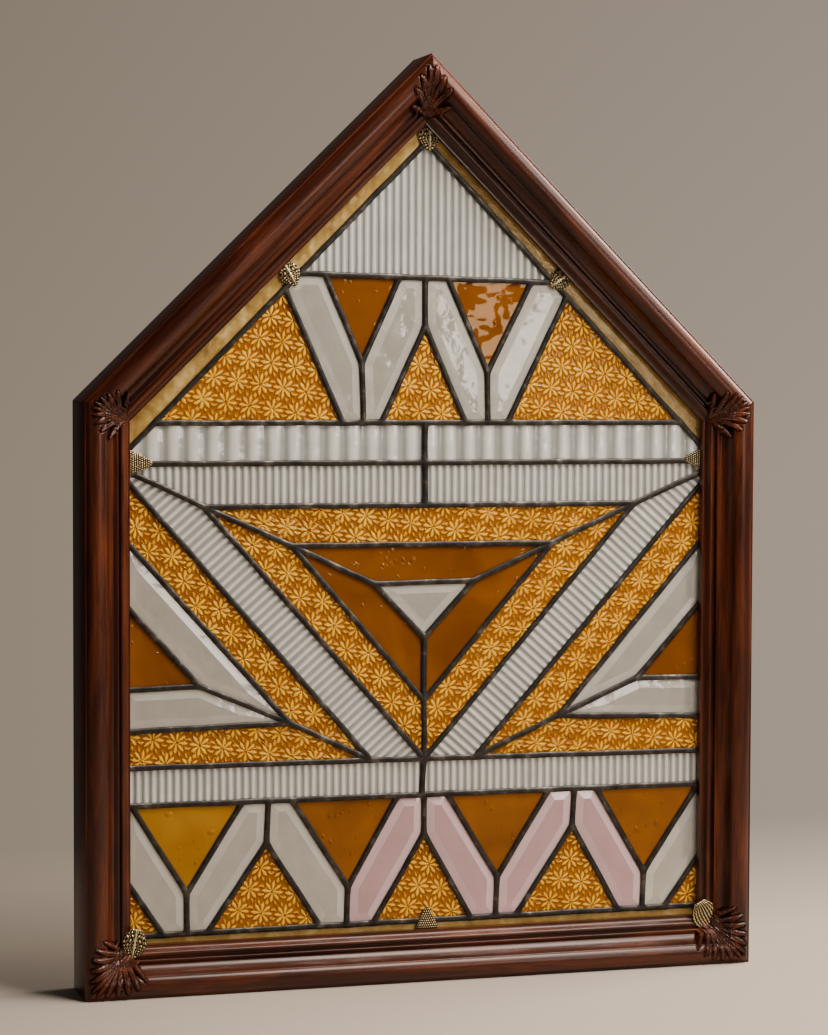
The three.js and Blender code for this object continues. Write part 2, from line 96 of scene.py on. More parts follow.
# %% Shader nodes in one line each
def shader_of(name, **plain):
    """A new material, its node tree and its shader, with plain values set on the sockets."""
    material = bpy.data.materials.new(name)
    material.use_nodes = True
    shader = material.node_tree.nodes["Principled BSDF"]
    for socket, value in plain.items():
        shader.inputs[socket.replace("_", " ")].default_value = value
    return material, material.node_tree, shader


def node(tree, kind, source=None, **settings):
    """A new node, with its first socket fed by the source."""
    made = tree.nodes.new("ShaderNode" + kind)
    for key, value in settings.items():
        if hasattr(made, key):
            setattr(made, key, value)
        else:
            made.inputs[key.replace("_", " ")].default_value = value
    if source is not None:
        tree.links.new(source, made.inputs[0])
    return made


def noise(tree, place, scale, **settings):
    return node(tree, "TexNoise", place, Scale=scale, **settings).outputs["Fac"]


def ramp(tree, source, stops):
    made = node(tree, "ValToRGB", source)
    elements = made.color_ramp.elements
    while len(elements) < len(stops):
        elements.new(0.5)
    for element, (place, colour) in zip(elements, stops):
        element.position = place
        element.color = (*colour, 1)
    return made.outputs["Color"]


def to_range(tree, source, low, high, first=0.0, last=1.0):
    """The source's stretch from low to high, spread from first to last."""
    return node(tree, "MapRange", source, From_Min=low, From_Max=high,
                To_Min=first, To_Max=last).outputs["Result"]


def blend(tree, share, ground, over, how):
    """Two colours mixed. The share is a number or another node's output."""
    made = node(tree, "Mix", data_type="RGBA", blend_type=how)
    if isinstance(share, float):
        made.inputs[0].default_value = share
    else:
        tree.links.new(share, made.inputs[0])
    tree.links.new(ground, made.inputs[6])
    tree.links.new(over, made.inputs[7])
    return made.outputs[2]


def bump(tree, shader, source, distance, strength):
    made = node(tree, "Bump", Distance=distance, Strength=strength)
    tree.links.new(source, made.inputs["Height"])
    tree.links.new(made.outputs["Normal"], shader.inputs["Normal"])


print("seven helpers for finishes")

# %% [markdown]
# ## Mahogany
# The frame is dark mahogany under french polish: a red-brown ground with fine dark pores and
# paler streaks that run along each member. A pattern in the object's own axes would cut across
# the sloping members, so every member carries its own coordinates (across, through, along), and
# one material follows the grain round all five mitres.

# %% Mahogany
def mahogany():
    material, tree, shader = shader_of("mahogany", Coat_Weight=0.42, Coat_Roughness=0.25,
                                       Specular_IOR_Level=0.2,
                                       Specular_Tint=(1.0, 0.66, 0.5, 1))
    grain = node(tree, "Attribute", attribute_name="grain").outputs["Vector"]
    streaks = node(tree, "Mapping", grain, Scale=(75, 75, 6)).outputs["Vector"]
    figure = noise(tree, streaks, 1.0, Detail=6.0, Roughness=0.62, Distortion=0.5)
    ground = ramp(tree, figure, [
        (0.22, (0.009, 0.0015, 0.0005)), (0.45, (0.033, 0.0058, 0.0015)),
        (0.62, (0.088, 0.0172, 0.0040)), (0.85, (0.19, 0.046, 0.011))])
    pores = node(tree, "Mapping", grain, Scale=(900, 900, 28)).outputs["Vector"]
    fine = noise(tree, pores, 1.0, Detail=3.0)
    flecks = ramp(tree, fine, [(0.36, (0.42, 0.38, 0.36)), (0.52, (1, 1, 1))])
    colour = blend(tree, 0.8, ground, flecks, "MULTIPLY")
    tree.links.new(colour, shader.inputs["Base Color"])
    tree.links.new(to_range(tree, figure, 0.3, 0.7, 0.30, 0.46), shader.inputs["Roughness"])
    bump(tree, shader, fine, 0.0002, 0.06)
    return material


MAHOGANY = mahogany()
print("made", MAHOGANY.name)

# %% [markdown]
# ## The moulding
# A frame moulding is run with shaped planes: a fat round at the outside, a wide cove that turns
# up to an edge, a quirk, a lip, and then a slope down to the glass. A bevelled curve could sweep
# it, but its ends would still have to be cut to the mitres and carved. So the section is drawn
# once, as arcs and bends in millimetres, with `inset` across the face and `depth` back from the
# crest of the round, and each member is built from it.

# %% Section of the moulding
EDGE_DEPTH = 5.3
EASED_EDGE = [(0.0, 0.8), (0.3, 0.2), (1.0, 0.0)]
ROUND_INSET, ROUND_WIDE, ROUND_DEEP = 12.3, 11.0, 8.5
COVE_START, COVE_KNEE, COVE_BOTTOM = (22.8, 5.5), (24.6, 14.6), (30.9, 18.6)
DIP_KNEE, DIP_END = (31.6, 19.1), (32.4, 18.6)
EDGE_START, EDGE_KNEE, EDGE_END = (35.5, 17.6), (36.4, 17.3), (36.6, 18.6)
QUIRK_FROM, QUIRK_TO, QUIRK_DEPTH = 36.6, 38.6, 23.5
LIP_FROM, LIP_TO, LIP_DEPTH, LIP_ROUND = 39.4, 43.2, 21.0, 0.7
SIGHT_INSET, SIGHT_DEPTH, SIGHT_CROWN = 50.0, 27.0, 2.4


def fat_round(steps):
    """The half round, from the outer edge's depth over the crest and down as far again."""
    start = math.asin(1 - EDGE_DEPTH / ROUND_DEEP)
    turn = np.linspace(start, math.pi - start, steps + 1)
    return np.stack([ROUND_INSET - ROUND_WIDE * np.cos(turn),
                     ROUND_DEEP - ROUND_DEEP * np.sin(turn)], 1)


def bend(start, knee, end, steps):
    """A smooth bend that leaves its start towards the knee and comes to its end from it."""
    t = np.linspace(0, 1, steps + 1)[:, None]
    return ((1 - t) ** 2 * np.array(start) + 2 * t * (1 - t) * np.array(knee)
            + t ** 2 * np.array(end))


def moulding_front():
    edge = [(inset, EDGE_DEPTH + below) for inset, below in EASED_EDGE]
    cove = bend(COVE_START, COVE_KNEE, COVE_BOTTOM, 18)
    dip = bend(COVE_BOTTOM, DIP_KNEE, DIP_END, 5)[1:]
    rise = bend(EDGE_START, EDGE_KNEE, EDGE_END, 6)
    quirk = [(QUIRK_FROM, QUIRK_DEPTH), (QUIRK_TO, QUIRK_DEPTH)]
    t = np.linspace(-1, 1, 7)
    lip = np.stack([(LIP_FROM + LIP_TO) / 2 + (LIP_TO - LIP_FROM) / 2 * t,
                    LIP_DEPTH + LIP_ROUND * t ** 2], 1)
    t = np.linspace(0, 1, 9)[1:]
    lip_foot = LIP_DEPTH + LIP_ROUND
    slope = np.stack([LIP_TO + (SIGHT_INSET - LIP_TO) * t,
                      lip_foot + (SIGHT_DEPTH - lip_foot) * t
                      + SIGHT_CROWN * np.sin(math.pi * t)], 1)
    return np.vstack([edge, fat_round(28), cove, dip, rise, quirk, lip, slope])


FRONT = moulding_front()
print("the moulding's front has", len(FRONT), "points across")

# %% [markdown]
# ## Corners and mitres
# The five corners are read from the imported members. A point at a given inset from both of the
# members that meet lies on the mitre, the line on which both are cut, so one formula serves the
# square corners at the foot, the wide ones at the eaves and the point.

# %% Corners of the frame
HALF_WIDTH = cad_high.x / MM
APEX_HEIGHT = round(cad_high.z / MM)
EAVE_HEIGHT = round(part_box("frame_left_stile")[1].z / MM)
CORNERS = np.array([(-HALF_WIDTH, 0), (-HALF_WIDTH, EAVE_HEIGHT), (0, APEX_HEIGHT),
                    (HALF_WIDTH, EAVE_HEIGHT), (HALF_WIDTH, 0)], float)
MEMBERS = ["frame_left_stile", "frame_left_rake", "frame_right_rake", "frame_right_stile",
           "frame_bottom_rail"]


def along(i):
    """The direction of member i, from its first corner to its second."""
    way = CORNERS[(i + 1) % 5] - CORNERS[i % 5]
    return way / np.linalg.norm(way)


def inward(i):
    way = along(i)
    return np.array([way[1], -way[0]])


def mitre(i, inset):
    a, b = inward((i - 1) % 5), inward(i % 5)
    reach = np.asarray(inset, float)[..., None] / (1 + a @ b)
    return CORNERS[i % 5] + (a + b) * reach


print("eaves at", EAVE_HEIGHT, "mm, point at", APEX_HEIGHT, "mm")

# %% [markdown]
# ## Carved leaves
# A carver leaves a block standing at each corner and cuts an acanthus leaf into it: lobes that
# spring from the inner end of the mitre and bend outwards like a fountain, each with a vein down
# its middle. Sculpting by hand would differ at every run, so a lobe is a bent line with a width.
# The wood stands up to whichever lobe is nearest, and a fine cut outlines the leaf, so that it
# reads even on top of the round.

# %% Lines of the lobes
# A lobe's tip is given from the corner: the distance along the mitre, the distance to the side,
# and the width of the lobe, in millimetres.
LEAF_LOBES = {
    "foot": [(13, 3.4, 6.5), (19, 11, 7.5), (27, 18.5, 7.5), (35.5, 25, 7.5), (45, 29.5, 7),
             (56, 30, 5.5)],
    "apex": [(14, 4.0, 8), (25, 12.5, 8.5), (38, 19, 8.5), (55, 20, 6.5)],
    "eave": [(10, 2.8, 5.5), (13, 9, 6.5), (18.5, 15.5, 7), (27, 21, 7), (38.5, 24, 6)],
}
LEAF_KIND = ["foot", "eave", "apex", "eave", "foot"]
LEAF_ROOT_INSET = 45.5
ROOT_SIDE, KNEE_ALONG, KNEE_SIDE = 0.05, 0.55, 0.16  # shares of the way to the tip
LOBE_SHARES = np.linspace(0, 1, 31)


def lobe_line(corner, side, tip_mitre, tip_side):
    """The middle line of a lobe, from its root to its tip."""
    root = mitre(corner, LEAF_ROOT_INSET)
    length = np.hypot(*(root - CORNERS[corner]))
    down = (root - CORNERS[corner]) / length
    across = np.array([-down[1], down[0]]) * side
    knee = (length - KNEE_ALONG * (length - tip_mitre), KNEE_SIDE * tip_side)
    path = bend((length, ROOT_SIDE * tip_side), knee, (tip_mitre, tip_side),
                len(LOBE_SHARES) - 1)
    return CORNERS[corner] + path[:, :1] * down + path[:, 1:] * across


print("lobes in a leaf:", {kind: 2 * len(lobes) for kind, lobes in LEAF_LOBES.items()})

# %% [markdown]
# The leaf rides over the high places of the moulding, as a stretched cloth would. That cloth is
# the convex outline of the section, and the same outline routine serves the panes later on.

# %% The cloth over the moulding
IN_LINE = 1e-3


def hull(points):
    """The convex outline of flat points, anticlockwise, without points in line."""
    def chain(path):
        kept = []
        for point in path:
            while len(kept) > 1:
                u, v = kept[-1] - kept[-2], point - kept[-1]
                if u[0] * v[1] - u[1] * v[0] > IN_LINE * np.hypot(*u) * np.hypot(*v):
                    break
                kept.pop()
            kept.append(point)
        return kept[:-1]

    order = [points[k] for k in np.lexsort((points[:, 1], points[:, 0]))]
    return np.array(chain(order) + chain(order[::-1]))


def cloth_over(section):
    """The part of the section's outline that faces forwards."""
    outline = hull(section)
    chord = np.interp(outline[:, 0], (0, SIGHT_INSET), (EDGE_DEPTH + 1, SIGHT_DEPTH))
    outline = outline[outline[:, 1] <= chord + 0.1]
    return outline[outline[:, 0].argsort()]


CLOTH = cloth_over(FRONT)


def cloth_depth(points):
    """Depth of the cloth at these places on the window."""
    inset = np.min([(points - CORNERS[i]) @ inward(i) for i in range(5)], axis=0)
    return np.interp(inset, CLOTH[:, 0], CLOTH[:, 1])


print("the cloth touches the moulding at", len(CLOTH), "points")

# %% Carving one corner
LEAF_RISE = 2.0
LOBE_FALL, FALL_POWER = 3.4, 2.6
VEIN_DEPTH, VEIN_WIDE = 0.9, 0.17
OUTLINE_DEPTH, OUTLINE_AT, OUTLINE_WIDE = 1.8, 1.1, 0.14
KNOB_HEIGHT, KNOB_AT, KNOB_LONG = 0.5, 0.9, 0.1
FLUTE_DEPTH = 0.28
ROOT_WIDTH, FULL_WIDTH_AT, TIP_TAPER = 0.30, 1 / 1.4, 0.5


def hump(x, middle, wide):
    """A smooth hump of height 1 over its middle."""
    return np.exp(-((x - middle) / wide) ** 2)


def lobe_surface(corner, side, lobe, points):
    """How far from the lobe's line, as a share of its half width, and how deep the wood is."""
    tip_mitre, tip_side, width = lobe
    line = lobe_line(corner, side, tip_mitre, tip_side)
    gap = points[:, None, :] - line[None, :, :]
    apart = np.hypot(gap[..., 0], gap[..., 1])
    nearest = apart.argmin(1)
    t = LOBE_SHARES[nearest]
    swelling = np.sin(math.pi / 2 * np.minimum(1, t / FULL_WIDTH_AT))
    half = width / 2 * (ROOT_WIDTH + (1 - ROOT_WIDTH) * swelling) * (1 - TIP_TAPER * t ** 8)
    share = apart.min(1) / half
    crest = cloth_depth(line)[nearest] - LEAF_RISE * (0.6 + 0.4 * t)
    knob = KNOB_HEIGHT * hump(t, KNOB_AT, KNOB_LONG)
    vein = VEIN_DEPTH * hump(share, 0, VEIN_WIDE) * (1 - t ** 6)
    flutes = FLUTE_DEPTH * (1 - np.cos(4 * math.pi * np.minimum(share, 1)))
    return share, crest - knob + LOBE_FALL * share ** FALL_POWER + vein + flutes


def leaf_depth(corner, points, depth):
    """Depth of the wood at these points once the leaf at this corner is carved."""
    best = np.full(len(points), np.inf)
    top = depth.copy()
    for lobe in LEAF_LOBES[LEAF_KIND[corner]]:
        for side in (1, -1):
            share, carved = lobe_surface(corner, side, lobe, points)
            nearer = share < best
            best = np.where(nearer, share, best)
            top = np.where(nearer, np.maximum(carved, -LEAF_RISE), top)
    cut = depth + OUTLINE_DEPTH * hump(best, OUTLINE_AT, OUTLINE_WIDE)
    return np.where(best < 1, np.minimum(top, cut), cut)


print("a leaf stands up to", LEAF_RISE, "mm over the moulding")

# %% [markdown]
# ## Making a piece
# A piece is built as arrays of points and faces, because carving, reeds and pressed stars are
# all heights over a flat sheet. Modifiers could press them in too, but arrays keep every size in
# view. One helper turns the arrays into an object that rides on the model, with its own finish,
# and leaves a crisp edge where two faces meet at a steeper angle than the one given.

# %% Making a piece
def make_piece(name, points, faces, material, crisp=None, attributes=None):
    mesh = bpy.data.meshes.new(name)
    mesh.from_pydata([tuple(p) for p in points], [], faces)
    mesh.update()
    mesh.polygons.foreach_set("use_smooth", np.ones(len(mesh.polygons), bool))
    for label, values in (attributes or {}).items():
        values = np.asarray(values, np.float32)
        kind, field = ("FLOAT_VECTOR", "vector") if values.ndim == 2 else ("FLOAT", "value")
        mesh.attributes.new(label, kind, "POINT").data.foreach_set(field, values.ravel())
    if crisp:
        mesh.set_sharp_from_angle(angle=math.radians(crisp))
    mesh.materials.append(material)
    piece = bpy.data.objects.new(name, mesh)
    bpy.context.scene.collection.objects.link(piece)
    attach(piece, "root")
    return piece


print("pieces ride on root, the only body")

# %% [markdown]
# ## Frame members
# Each member is one strip of the moulding. Its columns run parallel to the mitre at both ends,
# fine where a leaf is carved and wide apart between, and its rows follow the section. The back
# and the groove for the glass are hidden, so they stay plain with slightly eased edges.

# %% Building a member
BODY_DEPTH = 75.0
CREST_Y = cad_high.y / MM - BODY_DEPTH
GROOVE_FRONT, GROOVE_BACK, GROOVE_BOTTOM = 35.0, 43.1, 42.0
EASE, EASE_IN, EASE_BACK = 1.2, 0.4, 0.3
BACK_SECTION = np.array([
    (SIGHT_INSET, SIGHT_DEPTH + 0.6), (SIGHT_INSET, GROOVE_FRONT), (GROOVE_BOTTOM, GROOVE_FRONT),
    (GROOVE_BOTTOM, GROOVE_BACK), (SIGHT_INSET, GROOVE_BACK), (SIGHT_INSET, BODY_DEPTH - EASE),
    (SIGHT_INSET - EASE_IN, BODY_DEPTH - EASE_BACK), (SIGHT_INSET - EASE, BODY_DEPTH),
    (EASE, BODY_DEPTH), (EASE_BACK, BODY_DEPTH - EASE_BACK), (0, BODY_DEPTH - EASE)])
SECTION = np.vstack([FRONT, BACK_SECTION])
MITRE_GAP = 0.3
LEAF_REACH, CARVING_STEP = 46.0, 0.62
PLAIN_COLUMNS = 10
BOARD_LENGTH = 700


def member_columns(i):
    """The section laid down in flat places all along member i."""
    way = along(i)
    start = mitre(i, SECTION[:, 0]) + way * MITRE_GAP / 2
    end = mitre(i + 1, SECTION[:, 0]) - way * MITRE_GAP / 2
    near = np.arange(0, LEAF_REACH, CARVING_STEP)
    first = start[None] + way * near[:, None, None]
    last = end[None] - way * near[::-1, None, None]
    middle = np.linspace(0, 1, PLAIN_COLUMNS + 2)[1:-1]
    between = first[-1] + (last[0] - first[-1]) * middle[:, None, None]
    return np.concatenate([first, between, last]), len(near)


def member_arrays(i):
    flat, near = member_columns(i)
    columns, rows, carved = len(flat), len(SECTION), len(FRONT)
    depth = np.repeat(SECTION[None, :, 1], columns, 0)
    for corner, block in ((i, slice(0, near)), ((i + 1) % 5, slice(columns - near, None))):
        spots = flat[block, :carved].reshape(-1, 2)
        cut = leaf_depth(corner, spots, depth[block, :carved].ravel())
        depth[block, :carved] = cut.reshape(-1, carved)
    points = np.stack([flat[..., 0], CREST_Y + depth, flat[..., 1]], -1).reshape(-1, 3) * MM
    run = (flat - CORNERS[i]) @ along(i) + BOARD_LENGTH * i
    grain = np.stack([np.broadcast_to(SECTION[:, 0], run.shape), depth, run], -1)
    index = np.arange(columns * rows).reshape(columns, rows)
    a, b = index[:-1], np.roll(index, -1, 1)[:-1]
    faces = np.stack([a, b, b + rows, a + rows], -1).reshape(-1, 4).tolist()
    faces += [index[0, ::-1].tolist(), index[-1].tolist()]
    return points, faces, grain.reshape(-1, 3) * MM


for i, name in enumerate(MEMBERS):
    points, faces, grain = member_arrays(i)
    member = make_piece(name.replace("frame_", "mahogany_"), points, faces, MAHOGANY,
                        crisp=50, attributes={"grain": grain})
    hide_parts(name)
    print(member.name, "has", len(faces), "faces")

# %% [markdown]
# ## Outlines of the panes
# Every pane is a flat polygon with straight sides, so its outline is the hull of its points seen
# from the front. The gold strips on the rakes make one bent band, which no hull can follow, so
# that band is split at the point into two straight halves.

# %% Reading outlines
RAKE_STRIPS = "border_strip_rakes"
POINT_REACH = 30.0


def flat_points(name):
    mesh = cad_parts[name].data
    spots = np.empty(len(mesh.vertices) * 3)
    mesh.vertices.foreach_get("co", spots)
    spots = spots.reshape(-1, 3) / MM
    return np.unique(spots[:, [0, 2]].round(3), axis=0)


def starting_at(ring, point):
    """The ring, turned so that it starts at one of its own points."""
    first = next(k for k in range(len(ring)) if np.allclose(ring[k], point))
    return np.roll(ring, -first, axis=0)


def rake_band():
    """The bent band as one outline, and its two straight halves."""
    points = flat_points(RAKE_STRIPS)
    inner = min(points[np.abs(points[:, 0]) < POINT_REACH], key=lambda p: p[1])
    outer = points[points[:, 1].argmax()]
    left_end, right_end = min(inner[0], outer[0]) - 1, max(inner[0], outer[0]) + 1
    left = hull(np.vstack([points[points[:, 0] < left_end], inner, outer]))
    right = hull(np.vstack([points[points[:, 0] > right_end], inner, outer]))
    whole = np.vstack([starting_at(right, inner)[:-1], starting_at(left, outer)[:-1]])
    return whole, left, right


PANES = [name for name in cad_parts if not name.startswith(("frame_", "lead_"))]
OUTLINES = {name: hull(flat_points(name)) for name in PANES if name != RAKE_STRIPS}
OUTLINES[RAKE_STRIPS], STRIP_LEFT, STRIP_RIGHT = rake_band()
print(len(OUTLINES), "panes, the largest with", max(map(len, OUTLINES.values())), "corners")

# %% [markdown]
# ## Lead cames
# Lead came is an H-shaped strip with a rounded face, 6 mm wide. Hand-stretched came is never
# quite straight, and every joint carries a soft blob of solder. Strips laid one by one would
# cross at the joints, and the real network is soldered into one piece. So it is built cell by
# cell: a stack of rings follows each opening, and what is left between them is filled.

# %% Joints of the network
PANE_CLEARANCE = 0.9
JOINT_APART = 4.0


def offset(ring, distance):
    """A ring that runs anticlockwise, moved inwards by a distance."""
    before, after = ring - np.roll(ring, 1, 0), np.roll(ring, -1, 0) - ring
    a = before / np.hypot(*before.T)[:, None]
    b = after / np.hypot(*after.T)[:, None]
    a, b = np.stack([-a[:, 1], a[:, 0]], 1), np.stack([-b[:, 1], b[:, 0]], 1)
    return ring + (a + b) * distance / (1 + np.sum(a * b, 1))[:, None]


def find_joints():
    joints = []
    for ring in OUTLINES.values():
        for corner in offset(ring, -PANE_CLEARANCE):
            if all(np.hypot(*(corner - other)) > JOINT_APART for other in joints):
                joints.append(corner)
    return np.array(joints)


JOINTS = find_joints()
print(len(JOINTS), "soldered joints")

# %% Rings of one opening
CAME_RINGS = [  # reach from the middle of the came, and y
    (0.35, -1.20), (1.0, -1.14), (1.6, -0.97), (2.15, -0.70), (2.6, -0.36), (2.9, 0.05),
    (3.0, 0.4), (0.6, 0.4), (0.6, 5.0), (3.0, 5.0), (3.0, 5.9), (2.5, 6.3)]
FACE_RINGS = 6
CAME_STEP = 6.0
SOLDER_REACH, SOLDER_HALF_WIDE = 5.2, 3.4
SOLDER_HEIGHT, SOLDER_SPREAD = 0.75, 0.22
DRIFT, SHIVER = 0.16, 0.10


def wobble(points):
    """A slow drift and a quicker shiver of hand-stretched lead, sideways and up."""
    x, z = points[:, 0], points[:, 1]
    side = DRIFT * np.sin(z / 13.0 + 1.3 * np.sin(x / 31.0)) + SHIVER * np.sin(x / 7.1 + z / 19.0)
    rise = DRIFT * np.sin(x / 11.0 - 1.1 * np.sin(z / 23.0)) + SHIVER * np.sin(z / 6.3 + x / 17.0)
    return np.stack([side, rise], 1)


def solder(points):
    """How much solder lies at each point: 1 at a joint and 0 far from it."""
    gap = np.hypot(points[:, None, 0] - JOINTS[None, :, 0], points[:, None, 1] - JOINTS[None, :, 1])
    return hump(gap.min(1), 0, SOLDER_REACH)


def walk(ring, counts):
    """Evenly spaced points along a ring, with a given number on each side."""
    sides = np.roll(ring, -1, 0) - ring
    return np.vstack([ring[k] + sides[k] * (np.arange(n) / n)[:, None]
                      for k, n in enumerate(counts)])


def came_rings(outline):
    centre = offset(outline, -PANE_CLEARANCE)
    sides = np.hypot(*(np.roll(centre, -1, 0) - centre).T)
    counts = np.maximum(2, np.ceil(sides / CAME_STEP).astype(int))
    middle = walk(centre, counts)
    rings = []
    for level, (reach, y) in enumerate(CAME_RINGS):
        spots = walk(offset(centre, reach), counts)
        blob = solder(spots)
        placed, depth = spots + wobble(spots), np.full(len(spots), y)
        if 0 < level <= FACE_RINGS:
            placed += (spots - middle) * SOLDER_SPREAD * blob[:, None]
        if level < FACE_RINGS:
            depth -= SOLDER_HEIGHT * blob * (1 - (reach / SOLDER_HALF_WIDE) ** 2)
        rings.append(np.stack([placed[:, 0], depth, placed[:, 1]], 1))
    return rings


print("the came's section has", len(CAME_RINGS), "rings")

# %% [markdown]
# Between the rings lie the faces of the cames, front and back. A triangulation that keeps the
# rings as its edges fills them in one go, and the triangles inside an opening are thrown away.

# %% Filling between the rings
MERGE_DISTANCE = 1e-7


def inside(point, ring):
    a, b = ring, np.roll(ring, -1, 0)
    above = (a[:, 1] > point[1]) != (b[:, 1] > point[1])
    with np.errstate(divide="ignore", invalid="ignore"):
        cross = a[:, 0] + (point[1] - a[:, 1]) * (b[:, 0] - a[:, 0]) / (b[:, 1] - a[:, 1])
    return bool(np.sum(above & (point[0] < cross)) % 2)


def fill(points, rings, flip):
    """Triangles between the first ring, which is the outer edge, and the rings of all cells."""
    order = np.concatenate(rings)
    owner = np.concatenate([np.full(len(r), k) for k, r in enumerate(rings)])
    edges, at = [], 0
    for ring in rings:
        n = len(ring)
        edges += [(at + k, at + (k + 1) % n) for k in range(n)]
        at += n
    spots = points[order][:, [0, 2]]
    found = geometry.delaunay_2d_cdt([Vector(p) for p in spots], edges, [], 0,
                                     MERGE_DISTANCE, True)
    original = [sources[0] if sources else -1 for sources in found[3]]
    triangles = []
    for triangle in found[2]:
        ids = [original[k] for k in triangle]
        owners = {owner[k] for k in ids}
        if -1 in ids or owners == {0}:
            continue
        if len(owners) == 1 and inside(spots[ids].mean(0), spots[owner == owner[ids[0]]]):
            continue
        a, b, c = (spots[k] for k in ids)
        area = (b[0] - a[0]) * (c[1] - a[1]) - (b[1] - a[1]) * (c[0] - a[0])
        if (area > 0) == flip:
            ids = ids[::-1]
        triangles.append([int(order[k]) for k in ids])
    return triangles


print("filling merges points nearer than", MERGE_DISTANCE, "mm")

# %% Building the network
PLATE_INSET = 42.3
PLATE_STEPS = 40


def lead_network():
    points, faces, fronts, backs, start = [], [], [], [], 0
    for outline in OUTLINES.values():
        rings = came_rings(outline)
        index = start + np.arange(len(rings) * len(rings[0])).reshape(len(rings), -1)
        following = np.roll(index, -1, 1)
        faces += np.stack([index[:-1], index[1:], following[1:], following[:-1]],
                          -1).reshape(-1, 4).tolist()
        points += rings
        fronts.append(index[0])
        backs.append(index[-1])
        start += index.size
    plate = np.array([mitre(i, PLATE_INSET) for i in range(5)])[::-1]
    edge = walk(plate, [PLATE_STEPS] * 5)
    for y in (CAME_RINGS[0][1], CAME_RINGS[-1][1]):
        points.append(np.stack([edge[:, 0], np.full(len(edge), y), edge[:, 1]], 1))
    points = np.vstack(points)
    front = start + np.arange(len(edge))
    back = front + len(edge)
    faces += fill(points, [front, *fronts], False)
    faces += fill(points, [back, *backs], True)
    faces += np.stack([front, np.roll(front, -1), np.roll(back, -1), back], 1).tolist()
    return points * MM, faces


lead_points, lead_faces = lead_network()
print("the lead network has", len(lead_faces), "faces")

# %% [markdown]
# ## Patinated lead
# The lead is rubbed with a dark patina that wears off the high places, so it is a dull metal with
# paler, smoother patches and a slightly pitted surface. One even grey would look like plastic, so
# a broad noise drives both the colour and the gloss, and a fine one makes the pits.

# %% Lead
def patinated_lead():
    material, tree, shader = shader_of("patinated_lead", Metallic=0.75, Specular_IOR_Level=0.5)
    place = node(tree, "TexCoord").outputs["Object"]
    patches = noise(tree, place, 70.0, Detail=4.0, Roughness=0.6)
    colour = ramp(tree, patches, [
        (0.35, (0.016, 0.014, 0.012)), (0.55, (0.040, 0.035, 0.030)), (0.74, (0.15, 0.13, 0.11))])
    tree.links.new(colour, shader.inputs["Base Color"])
    tree.links.new(to_range(tree, patches, 0.3, 0.7, 0.5, 0.32), shader.inputs["Roughness"])
    bump(tree, shader, noise(tree, place, 900.0, Detail=2.0), 0.0002, 0.5)
    return material


LEAD = patinated_lead()
lead = make_piece("soldered_lead", lead_points, lead_faces, LEAD, crisp=55)
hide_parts("lead_cames")
print("made", lead.name)

# %% [markdown]
# ## Sheets of pressed glass
# Patterned glass is rolled: its back is flat and its front carries the pattern. A bump map would
# be quicker, but a pane's edge would stay straight and no reed would shade the next. So a sheet
# is swept across its outline in narrow rows, and the front of every point is pushed in by the
# pattern's depth there. The back is one flat face.

# %% Sweeping a sheet
SHEET_FRONT, SHEET_BACK = 0.7, 4.7
SLIVER = 0.02


def slab(front, rows, columns, back_y, turned=False):
    """A grid of front points, closed by a skirt and one flat back. Also how long the rim is."""
    index = np.arange(rows * columns).reshape(rows, columns)
    rim = np.concatenate([index[0, :-1], index[:-1, -1], index[-1, :0:-1], index[:0:-1, 0]])
    base = len(front) + np.arange(len(rim))
    grid = np.stack([index[:-1, :-1], index[:-1, 1:], index[1:, 1:], index[1:, :-1]], -1)
    skirt = np.stack([rim, base, np.roll(base, -1), np.roll(rim, -1)], 1)
    faces = np.vstack([grid.reshape(-1, 4), skirt])
    faces = (faces[:, [0, 3, 2, 1]] if turned else faces).tolist()
    faces.append((base if turned else base[::-1]).tolist())
    back = front[rim].copy()
    back[:, 1] = back_y
    return np.vstack([front, back]) * MM, faces, len(rim)


def sheet_arrays(outline, along_way, row_step, column_step, pattern):
    along_way = np.asarray(along_way, float) / np.hypot(*along_way)
    across = np.array([-along_way[1], along_way[0]])
    u, v = outline @ along_way, outline @ across
    rows = max(3, int(math.ceil((v.max() - v.min()) / row_step)) + 1)
    places = np.linspace(v.min() + SLIVER, v.max() - SLIVER, rows)
    following = np.roll(np.arange(len(outline)), -1)
    spans = []
    for place in places:
        hits = [u[a] + (u[b] - u[a]) * (place - v[a]) / (v[b] - v[a])
                for a, b in enumerate(following) if (v[a] - place) * (v[b] - place) < 0]
        spans.append((min(hits), max(hits)))
    low, high = np.array(spans).T
    columns = max(3, int(math.ceil((high - low).max() / column_step)) + 1)
    lines = low[:, None] + (high - low)[:, None] * np.linspace(0, 1, columns)
    flat = (lines[..., None] * along_way + places[:, None, None] * across).reshape(-1, 2)
    depth = np.asarray(pattern(flat), float)
    front = np.stack([flat[:, 0], SHEET_FRONT + depth, flat[:, 1]], 1)
    points, faces, rim = slab(front, rows, columns, SHEET_BACK)
    return points, faces, np.concatenate([depth, np.full(rim, depth.max())])


def add_sheet(name, parts, material, nodes):
    """One piece from one or more swept sheets, with the depth kept as its relief."""
    faces, start = [], 0
    for part_points, part_faces, _ in parts:
        faces += [[k + start for k in face] for face in part_faces]
        start += len(part_points)
    piece = make_piece(name, np.vstack([part[0] for part in parts]), faces, material,
                       crisp=48, attributes={"relief": np.concatenate([p[2] for p in parts])})
    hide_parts(*nodes)
    return piece


print("sheets are", SHEET_BACK - SHEET_FRONT, "mm thick")

# %% [markdown]
# ## Waves in the surface
# Old glass is never flat. A few long waves with different directions, added together, give every
# pane its own slow ripple. A displacement texture could do it too, but plain sines are quick to
# work out at any point, and a seeded generator picks them, so each run makes the same glass.

# %% Ripples
WAVES_EACH = 3


